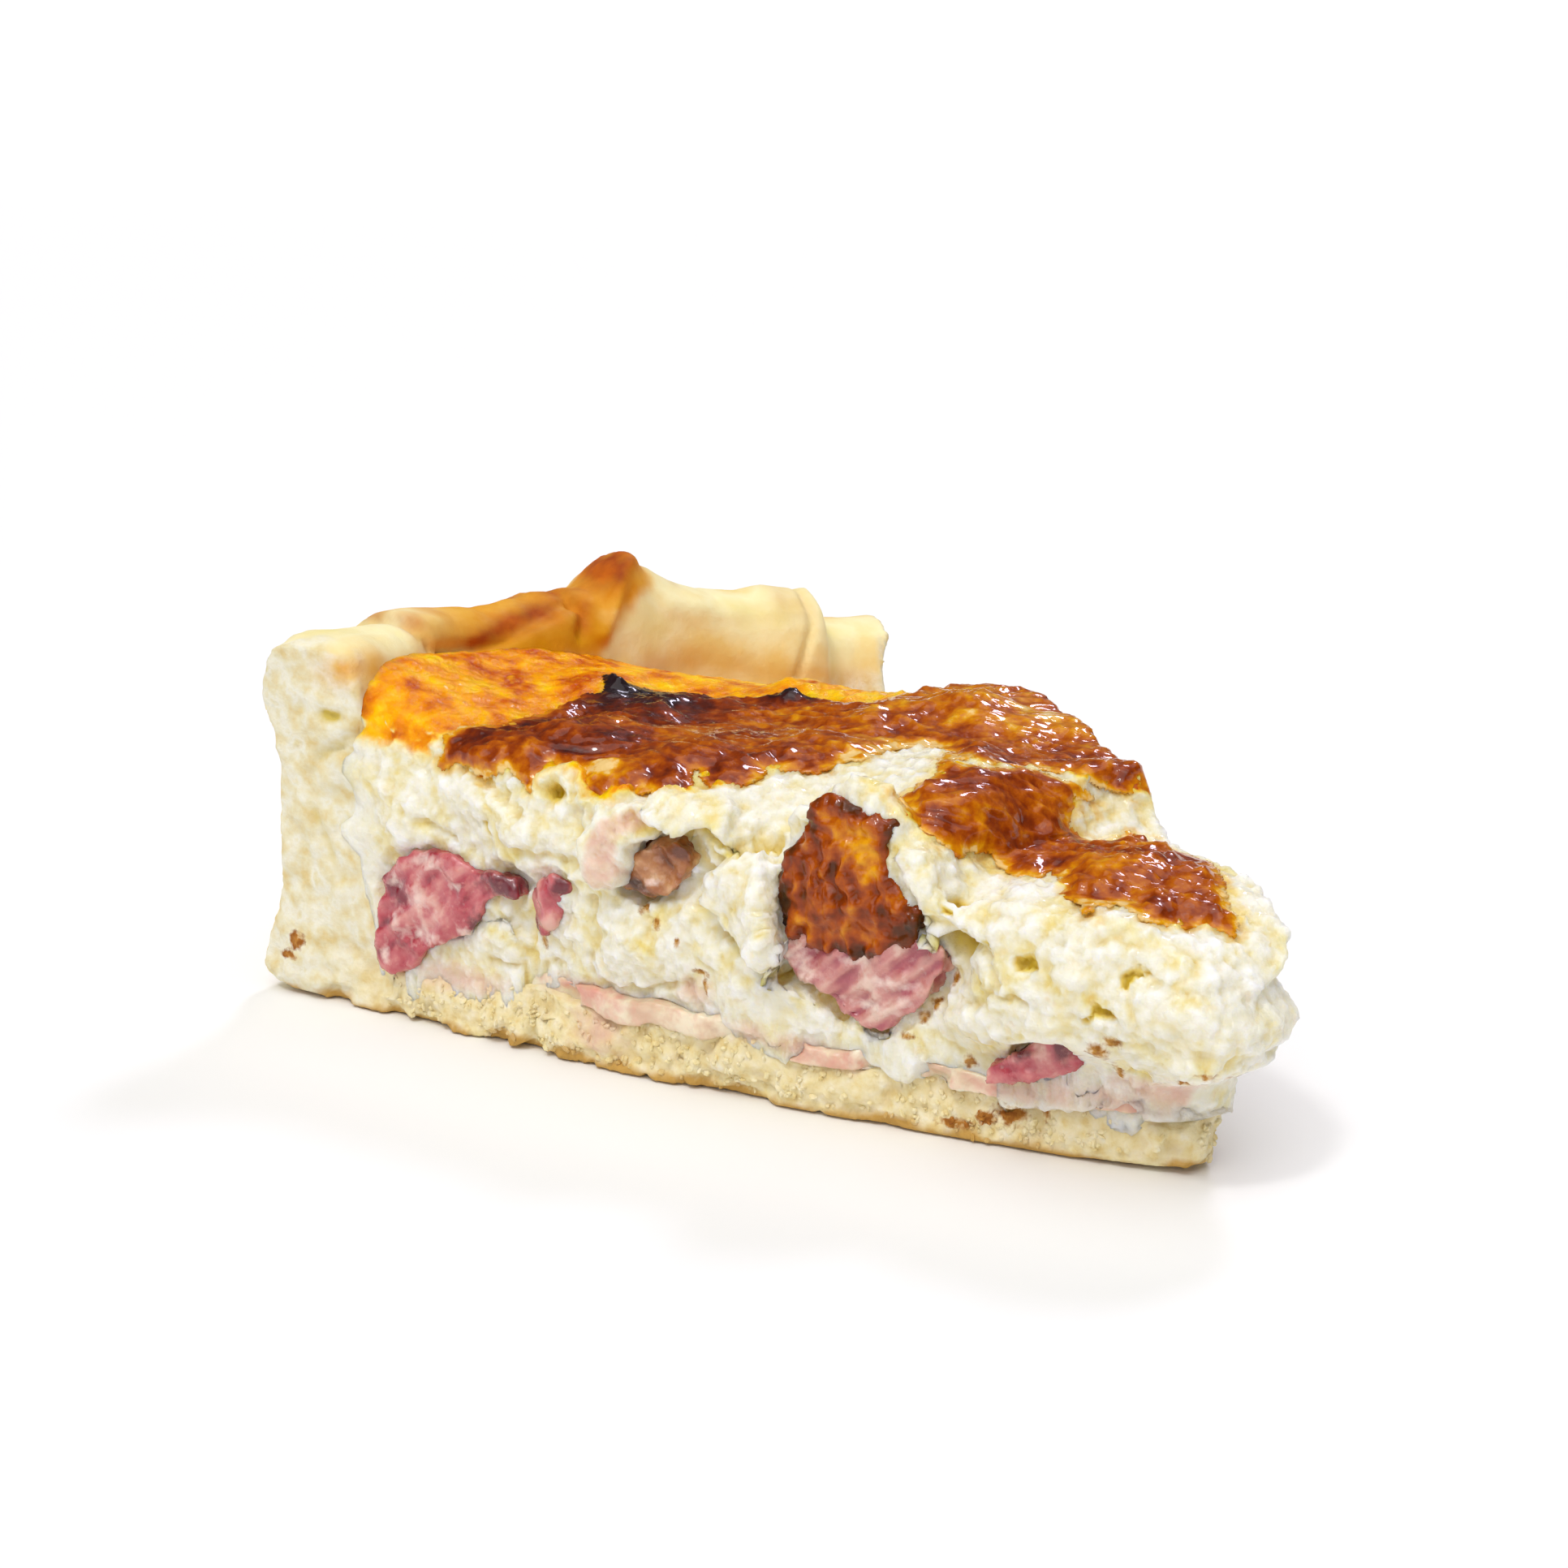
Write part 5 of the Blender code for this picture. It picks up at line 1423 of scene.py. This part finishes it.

# %% [markdown]
# Set egg is see-through for a few millimetres. Subsurface light gives that: it goes in white and comes out
# warm. The colour follows the relief that the tree has kept as painted light and shade: hollows are painted
# yellow and crests nearly white. A thin wet coat is broken up by noise, since only some curds shine.

# %% Set custard
def set_custard():
    """Moist egg curd: light goes in a few millimetres and comes out warm. Hollows get yellow painted shade.
    """
    paint = Paint(
        "set custard",
        **{"Subsurface Weight": 0.8, "Subsurface Radius": (1.0, 0.9, 0.6), "Subsurface Scale": 0.0026,
           "Specular IOR Level": 0.15, "Coat Roughness": 0.08, "Coat IOR": 1.45},
    )
    # painted light and shade: hollows yellow, crests nearly white, and clouds of either run over both
    height = paint.spread(paint.number("relief"), -0.8, 0.8, 0.0, 0.5)
    cloud = paint.spread(paint.noise(3.6, 5.0), 0.0, 1.0, -0.1, 0.6)
    level = paint.maths("ADD", height, cloud)
    body = paint.colours(
        level, (0.24, "e9d584"), (0.36, "eadfb2"), (0.46, "ebe6d0"), (0.58, "efece0"), (0.7, "f4f3ee")
    )
    # painted shade: creases and pits are yellow, the deepest pits olive
    body = paint.blend(paint.spread(paint.number("hollow"), 0.15, 0.6), body, linear("e8d06a"))
    body = paint.blend(paint.spread(paint.number("hollow"), 0.6, 0.95), body, linear("c49e10"))
    body = paint.blend(paint.broken("pink", 1.6, 0.2, 1.1), body, linear("e2bfac"))
    yellow = paint.colours(paint.noise(2.5), (0.35, "f4dc80"), (0.65, "e6b030"))
    body = paint.blend(paint.broken("stain", 1.4, 0.1, 1.0), body, yellow)
    brown = paint.colours(paint.noise(0.7), (0.35, "d0a050"), (0.65, "9c6420"))
    body = paint.blend(paint.broken("speck", 0.7, 0.4, 0.85), body, brown)
    orange = paint.colours(
        paint.noise(4.2, 5.0), (0.28, "ffce00"), (0.42, "f8ac00"), (0.55, "e48600"), (0.66, "b84600"),
        (0.76, "f4aa00")
    )
    body = paint.blend(paint.spread(paint.number("glaze"), 0.0, 0.5), body, linear("f8d040"))
    body = paint.blend(paint.broken("glaze", 2.0, 0.25, 0.7), body, orange)
    rough_part = paint.spread(paint.noise(1.5), 0.35, 0.7, 0.34, 0.55)
    shiny = paint.spread(paint.number("glaze"), 0.0, 1.0, 1.0, 0.8)
    gloss = paint.maths("MULTIPLY", rough_part, shiny)
    wet = paint.spread(paint.noise(1.4, 2.0), 0.50, 0.68, 0.03, 0.8)
    # seen this flat, an even film over the glaze would mirror the room and wash its colour out
    film = paint.spread(paint.number("glaze"), 0.0, 1.0, 1.0, 0.35)
    wet = paint.maths("MULTIPLY", wet, film)
    paint.give(Base_Color=body, Roughness=gloss, Coat_Weight=wet)
    curds = paint.add(
        "ShaderNodeTexVoronoi", [("Vector", paint.place), ("Scale", 1000.0 / 1.7), ("Smoothness", 0.3)],
        feature="SMOOTH_F1",
    ).outputs["Distance"]
    fine = paint.maths("MULTIPLY", paint.noise(1.1, 6.0), 1.4)
    paint.bumps(paint.maths("SUBTRACT", fine, curds), 0.8, 0.4)
    return paint.material

# %% [markdown]
# The skin is egg that dried and browned. One number, which holds the browning and the painted shade in the
# creases, runs through a colour ramp from pale straw over amber to nearly black. Fine noise is added to it
# first, so that the steps between the browns don't look like bands. The coat is the film of fat on it.

# %% Browned skin
def browned_skin(name, *browning):
    """Dried, browned egg: a leathery sheet under a thin film of fat, so it shines in small sharp spots."""
    paint = Paint(
        name, **{"Coat Weight": 0.75, "Coat Roughness": 0.05, "Coat IOR": 1.4, "Specular IOR Level": 0.08}
    )
    fleck = paint.spread(paint.noise(1.1, 4.0), 0.3, 0.7, -0.10, 0.10)
    burn = paint.maths("ADD", paint.number("burn"), fleck)
    body = paint.colours(burn, *browning)
    paint.give(Base_Color=body, Roughness=paint.spread(paint.noise(1.3), 0.35, 0.65, 0.3, 0.5))
    paint.bumps(paint.noise(0.6, 4.0), 0.55, 0.2)
    return paint.material

# %% [markdown]
# Pastry is matt and dry, so it gets a high roughness and little light goes in. The cut crumb and the baked
# crust have their own colours, and the number cut says which is which. Dents and hollows in the crumb are
# painted darker as shade. Gold, ochre and rust are laid over it in turn, as the oven did, and the rust also
# runs along two creases of the rim as painted shade.

# %% Baked shortcrust
def baked_shortcrust():
    """Butter and flour crumb: matt straw inside, golden where the oven reached, rust on the high folds."""
    paint = Paint(
        "baked shortcrust",
        **{"Subsurface Weight": 0.1, "Subsurface Radius": (1.0, 0.7, 0.35), "Subsurface Scale": 0.001,
           "Specular IOR Level": 0.2},
    )
    crumb = paint.colours(
        paint.noise(2.2, 5.0), (0.3, "dcc68e"), (0.46, "e2d8b4"), (0.6, "e8e4d2"), (0.74, "e0d4a8")
    )
    foot = paint.colours(
        paint.noise(1.3, 5.0), (0.3, "e0c88a"), (0.45, "e8d8a6"), (0.6, "ecdfb8"), (0.75, "f0e8d0")
    )
    crumb = paint.blend(paint.number("foot"), crumb, foot)
    # painted shade: dents in the crumb are darker
    crumb = paint.blend(paint.spread(paint.number("relief"), -0.25, -1.0), crumb, linear("d8c08a"))
    crumb = paint.blend(paint.broken("pink", 1.6, 0.2, 1.2), crumb, linear("dcb49c"))
    # painted shade in the pits and creases of the cut
    crumb = paint.blend(paint.spread(paint.number("hollow"), 0.15, 0.6), crumb, linear("d4bc5c"))
    baked = paint.colours(paint.noise(9.0, 4.0), (0.3, "efe098"), (0.5, "f5eab8"), (0.68, "efd68c"))
    body = paint.blend(paint.number("cut"), baked, crumb)
    gold = paint.colours(paint.noise(4.0, 4.0), (0.3, "eab03c"), (0.7, "d88c14"))
    body = paint.blend(paint.number("golden"), body, gold)
    body = paint.blend(paint.number("ochre"), body, linear("d29000"))
    # rust on the crests, and painted shade along two creases of the rim
    rust_and_crease_shade = paint.colours(paint.noise(2.5, 4.0), (0.3, "c06008"), (0.7, "98400a"))
    body = paint.blend(paint.number("rust_and_crease_shade"), body, rust_and_crease_shade)
    body = paint.blend(paint.number("floor"), body, linear("c49a50"))
    brown = paint.colours(paint.noise(0.8), (0.35, "c08438"), (0.65, "94581c"))
    body = paint.blend(paint.broken("speck", 0.8, 0.35, 0.7), body, brown)
    paint.give(Base_Color=body, Roughness=paint.spread(paint.noise(2.0), 0.3, 0.7, 0.6, 0.8))
    paint.bumps(paint.noise(0.7, 5.0), paint.spread(paint.number("cut"), 0.0, 1.0, 0.22, 0.6), 0.35)
    return paint.material

# %% [markdown]
# One function paints all the meat, because cured meat is always the same stuff: fibres, fat between them
# and a wet shine. Over that it lays the blots: painted shade in the gaps round the meat, and pale fat with
# painted wet highlights. Only the colours, the share of fat and the strength of the streaks change from
# piece to piece.

# %% Ham, pale ham and bacon
def meat_paint(name, lean_stops, fat_colour, fat_share, gloss, dark_colour="6a1c28", streaks=0.25):
    """Cured muscle: pink fibres with a wet shine, and streaks of nearly clear fat between them."""
    paint = Paint(
        name,
        **{"Subsurface Weight": 0.3, "Subsurface Radius": (1.0, 0.35, 0.25), "Subsurface Scale": 0.0015,
           "Coat Weight": 0.6, "Coat Roughness": 0.12},
    )
    clouds = paint.maths("SUBTRACT", paint.noise(3.4, 4.0), streaks)
    fibre = paint.maths("MULTIPLY", paint.number("fibre"), streaks)
    mixed = paint.maths("ADD", fibre, clouds)
    body = paint.colours(paint.spread(mixed, 0.30 - 0.65 * streaks, 0.74 - 0.35 * streaks), *lean_stops)
    fat = paint.spread(paint.noise(3.4, 4.0), 0.58 - fat_share, 0.76 - fat_share)
    body = paint.blend(fat, body, linear(fat_colour))
    # painted shade in the gaps round the meat
    body = paint.blend(paint.broken("dark", 1.2, 0.3, 0.8), body, linear(dark_colour))
    # pale fat and painted wet highlights
    body = paint.blend(paint.broken("pale", 1.0, 0.25, 1.3, 0.8), body, linear("ecd4c8"))
    body = paint.blend(paint.broken("pink", 1.4, 0.15, 1.1, 0.8), body, linear("dc9c8a"))
    paint.give(Base_Color=body, Roughness=paint.spread(paint.noise(1.2), 0.3, 0.7, gloss, gloss + 0.15))
    paint.bumps(paint.noise(1.1, 4.0), 0.7, 0.3)
    return paint.material


COOKED_HAM = meat_paint(
    "cooked ham", ((0.08, "7e1428"), (0.34, "b03a48"), (0.6, "c26468"), (0.92, "d89a90")),
    fat_colour="deb4a6", fat_share=-0.05, gloss=0.25,
)
ROSY_HAM = meat_paint(
    "rosy ham with fat", ((0.1, "aa505a"), (0.36, "c07874"), (0.62, "cc9288"), (0.9, "dab6a6")),
    fat_colour="e2c6b6", fat_share=-0.06, gloss=0.24, dark_colour="8a4a3c", streaks=0.85,
)
PALE_HAM = meat_paint(
    "pale ham and fat", ((0.1, "d8b498"), (0.4, "e0c6a8"), (0.65, "e8d8bc"), (0.9, "ece2cc")),
    fat_colour="eedfc4", fat_share=0.12, gloss=0.3,
)
BACON = meat_paint(
    "browned bacon", ((0.1, "6e3410"), (0.36, "9a5826"), (0.6, "b67c4c"), (0.9, "cc9c70")),
    fat_colour="e4c294", fat_share=0.0, gloss=0.3, dark_colour="4e280a",
)

# %% [markdown]
# ## Painting the pastry
#
# The colour of the crust follows where the oven's heat reached: the crest of the highest fold is rust, its
# flanks are golden, the hollow below the first fold is ochre, and the thin line under the base is tin-
# browned. Two creases of the rim get the same rust-brown as painted shade.

# %% Pastry colours
GOLDEN_OUTLINE = [
    (-15.2, 40.3), (-14.6, 43.5), (-8.0, 44.5), (-1.0, 45.5), (1.0, 49.0), (5.6, 49.0), (3.9, 43.0),
    (1.6, 41.2), (0.3, 39.3), (-1.5, 35.0), (-7.0, 34.5), (-13.0, 37.0),
]
# strength, width in millimetres, then (angle, height) along the stroke
OCHRE_STROKES = (
    (0.9, 2.2, (-9.5, 37.0), (-6.5, 37.2), (-3.5, 37.4), (-1.5, 38.2)),
    (0.5, 1.6, (-14.0, 39.4), (-10.0, 40.0)),
    (0.34, 1.7, (3.0, 33.2), (9.0, 31.4), (15.0, 29.2), (20.0, 26.6)),
    (0.35, 1.8, (13.8, 38.6), (15.4, 37.6)),
    (0.4, 2.0, (-21.0, 37.6), (-17.2, 37.2)),
)
# the first and third strokes follow creases of the rim: painted shade
RUST_AND_CREASE_SHADE_STROKES = (
    (0.95, 1.3, (-10.5, 38.4), (-6.8, 39.8), (-3.9, 40.7), (-2.4, 41.6)),
    (1.0, 1.5, (-2.0, 43.0), (-0.6, 43.4), (0.9, 44.4), (1.9, 45.6), (3.0, 46.4), (3.9, 45.6)),
    (0.7, 1.3, (-1.8, 42.5), (-1.6, 40.9), (-2.2, 39.0)),
    (0.5, 0.9, (-15.3, 42.0), (-14.5, 42.0)), (0.5, 0.9, (4.0, 45.0), (5.5, 43.6), (6.4, 42.4)),
)


def strokes(angle, height, table):
    total = np.zeros(len(angle))
    for strength, wide, *line in table:
        run = [(a * RIM_DEGREE, z) for a, z in line]
        total = np.maximum(total, strength * bump(line_distance(angle * RIM_DEGREE, height, run), wide))
    return total


def pastry_colours():
    mesh = pastry.data
    points = points_of(mesh)
    reach, angle = polar(points)
    open_to_heat = np.maximum(ramp(24.0, 28.0, points[:, 2]), ramp(113.0, 115.0, reach))
    baked = (1 - recall(mesh, "cut")) * open_to_heat
    covered = ramp(113.0, 111.0, reach) * ramp(29.0, 26.0, points[:, 2]) * (points[:, 2] > 1.0)
    remember(mesh, "cut", np.maximum(recall(mesh, "cut"), covered))
    cloud = rough(points, 4.0, 3, 2.0)
    outline = [(a * RIM_DEGREE, z) for a, z in GOLDEN_OUTLINE]
    golden = ramp(-1.8, 1.8, edge_distance(angle * RIM_DEGREE, points[:, 2], outline) + 1.4 * cloud)
    # the outer side of the rim stood against the tin and the oven's side
    outer = (0.28 + 0.25 * rough(points, 14.0, 2, 3.0)) * ramp(115.0, 118.0, reach)
    golden = np.maximum(golden * ramp(118.0, 114.0, reach), outer)
    golden *= 0.55 + 0.45 * ramp(-14.0, -9.0, angle)
    # the oven caught the top of the cut at the near end too
    distance = on_cut(points, NEAR)[0]
    patch = 0.8 * bump(np.hypot((distance - 106.5) / 3.6, (points[:, 2] - 39.0) / 1.8), 1.0)
    patch *= ramp(-18.0, -20.5, angle) * (1 + 0.5 * cloud)
    remember(mesh, "golden", np.maximum(golden * baked, patch))
    remember(mesh, "ochre", strokes(angle, points[:, 2], OCHRE_STROKES) * (1 + 0.3 * cloud) * baked)
    # rust on the crests, and painted shade along two creases
    remember(mesh, "rust_and_crease_shade", strokes(angle, points[:, 2], RUST_AND_CREASE_SHADE_STROKES) * (1 + 0.4 * cloud) * baked)
    remember(mesh, "floor", ramp(1.3, 0.4, points[:, 2] + 0.8 * rough(points, 4.0, 3, 5.0)))
    remember(mesh, "foot", ramp(9.0, 5.0, points[:, 2] + 0.05 * (reach - 95.0)) * ramp(112.0, 100.0, reach))


pastry_colours()

# %% [markdown]
# Each piece now gets its material. The part has one body, so every piece rides on its root, and the CAD
# solid that a piece stands for is hidden. The crumbs stand for none: they are an extra on the pastry.

# %% Finish the pieces
def finish_piece(thing, material, slot, *stands_for):
    thing.data.materials.clear()
    thing.data.materials.append(material)
    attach(thing, "root")
    if stands_for:
        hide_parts(*stands_for)


def clinging_crumbs():
    """Grains on the cut faces of the pastry, as their own mesh."""
    points, normals = points_of(pastry.data), normals_of(pastry.data)
    reach = polar(points)[0]
    facing = np.maximum(normals @ outward(NEAR), normals @ outward(FAR))
    near_depth, far_depth = cut_depths(points)
    crumbly = ramp(0.4, 0.8, facing) * ramp(104.0, 99.0, reach) * ramp(0.5, 1.2, points[:, 2])
    crumbly *= ramp(3.5, 2.5, np.minimum(near_depth, far_depth))
    remember(pastry.data, "crumbly", crumbly * (0.4 + 0.6 * ramp(-0.2, 0.4, rough(points, 5.0, 2, 4.0))))
    thing = new_object("pastry_crumbs", pastry.data.copy())
    modifier = thing.modifiers.new("crumbs", "NODES")
    modifier.node_group = crumb_tree()
    crust = pastry.data.materials[0]
    set_inputs(modifier, Crumbs_per_square_millimetre=1.1, Crumb_size=0.5, Seed=4, Material=crust)
    bake(thing)
    for name, value in (("cut", 1.0), ("foot", 1.0), ("golden", 0.0)):
        remember(thing.data, name, np.full(len(thing.data.vertices), value))
    print("crumbs", len(thing.data.polygons), "faces")
    return thing


SKIN = browned_skin(
    "browned egg skin",
    (0.0, "e6c27c"), (0.07, "dc9c0a"), (0.16, "cb7a00"), (0.29, "ae5400"), (0.42, "8a3400"),
    (0.56, "641e02"), (0.74, "3a100e"), (0.95, "201016"),
)
FLAP_SKIN = browned_skin(
    "toasted egg skin",
    (0.02, "e09a08"), (0.15, "c87400"), (0.28, "aa4e00"), (0.42, "883400"), (0.58, "602a04"),
    (0.76, "402208"), (0.95, "2a160a"),
)
finish_piece(custard, set_custard(), "set_custard", "custard_filling")
finish_piece(skin, SKIN, "browned_skin")
finish_piece(flap, FLAP_SKIN, "browned_skin", "torn_browned_skin")
finish_piece(pastry, baked_shortcrust(), "baked_shortcrust", "pastry_shell")
crumbs = clinging_crumbs()
finish_piece(crumbs, pastry.data.materials[0], "baked_shortcrust")
finish_piece(ham_layer, PALE_HAM, "pale_ham", "ham_layer")
for name, thing in meat.items():
    bacon = name == "browned_lardon"
    ham = ROSY_HAM if name.endswith("middle") else COOKED_HAM
    finish_piece(thing, BACON if bacon else ham, "browned_bacon" if bacon else "cooked_ham", name)
print("materials", sorted(material.name for material in bpy.data.materials))

# %% [markdown]
# ## Table, light and camera
#
# The slice lies on a plain white table. One big soft light stands behind and above it, so the browned skin
# catches long pale highlights, and a wide light from the front fills the cut face.

# %% Studio
def sunlight(name, azimuth, height, power, spread, colour):
    """A broad far light: from this compass angle (0 is +X) and this height in degrees."""
    lamp = bpy.data.lights.new(name, "SUN")
    lamp.energy = power
    lamp.angle = math.radians(spread)
    lamp.color = linear(colour)[:3]
    thing = bpy.data.objects.new(name, lamp)
    a, h = math.radians(azimuth), math.radians(height)
    aim = Vector((math.cos(a) * math.cos(h), math.sin(a) * math.cos(h), math.sin(h)))
    thing.rotation_euler = aim.to_track_quat("Z", "Y").to_euler()
    bpy.context.scene.collection.objects.link(thing)


# the table is made of rings of points, from the middle out
TABLE_RINGS, TABLE_SIDES = 40, 64


def sweep_floor():
    """A round white table whose edge rises softly far away, as a photographer's paper does."""
    corners = []
    for step in range(TABLE_RINGS):
        radius = 0.02 + 6.5 * step / (TABLE_RINGS - 1)
        rise = 0.9 * max(0.0, (radius - 2.5) / 4.0) ** 2
        turns = [2 * math.pi * k / TABLE_SIDES for k in range(TABLE_SIDES)]
        corners += [(radius * math.cos(t), radius * math.sin(t), rise) for t in turns]
    faces = [tuple(range(TABLE_SIDES))]
    for step in range(TABLE_RINGS - 1):
        for k in range(TABLE_SIDES):
            a, b = TABLE_SIDES * step + k, TABLE_SIDES * step + (k + 1) % TABLE_SIDES
            faces.append((a, a + TABLE_SIDES, b + TABLE_SIDES, b))
    mesh = bpy.data.meshes.new("table")
    mesh.from_pydata(corners, [], faces)
    mesh.shade_smooth()
    table = new_object("table", mesh)
    table.location.z = -0.0002
    white = bpy.data.materials.new("white paper")
    white.use_nodes = True
    shader = white.node_tree.nodes["Principled BSDF"]
    shader.inputs["Base Color"].default_value = linear("f6f6f6")
    shader.inputs["Roughness"].default_value = 0.9
    mesh.materials.append(white)


sweep_floor()
world = bpy.data.worlds.new("soft room")
world.use_nodes = True
room = world.node_tree.nodes["Background"]
room.inputs["Color"].default_value = linear("fff4e0")
room.inputs["Strength"].default_value = 0.09
bpy.context.scene.world = world
# name, compass angle and height in degrees, strength, spread in degrees, colour
LIGHTS = (
    ("window in front", -62.0, 46.0, 1.28, 60.0, "ffffff"),
    ("lamp in front", -75.0, 58.0, 0.55, 7.0, "ffffff"),
    ("window behind", 118.0, 44.0, 0.8, 12.0, "ece8ff"),
    ("ceiling", -20.0, 80.0, 1.38, 70.0, "ffffff"),
)
for light in LIGHTS:
    sunlight(*light)
print("lights", len(LIGHTS))

# %% [markdown]
# The camera stands where the photographer's stood: in front of the near cut, towards the tip, and 15
# degrees above the table. A distance of 30 cm gives the same strength of perspective, and the lens fits the
# slice into the frame.

# %% Camera
AZIMUTH, ELEVATION = math.radians(51.83), math.radians(14.73)
CAMERA_DISTANCE = 300.0
TARGET = Vector((-12.64, 0.1, 25.17))
LENS, SENSOR = 60.63, 36.0
level = math.cos(ELEVATION)
back = Vector((math.sin(AZIMUTH) * level, -math.cos(AZIMUTH) * level, math.sin(ELEVATION)))
camera_data = bpy.data.cameras.new("photo view")
camera_data.lens = LENS
camera_data.sensor_width = SENSOR
camera = bpy.data.objects.new("photo view", camera_data)
camera.location = (TARGET + back * CAMERA_DISTANCE) * MM
camera.rotation_euler = back.to_track_quat("Z", "Y").to_euler()
bpy.context.scene.collection.objects.link(camera)
bpy.context.scene.camera = camera
bpy.context.scene.view_settings.view_transform = "Standard"
print("camera at", [round(c / MM) for c in camera.location], "mm")
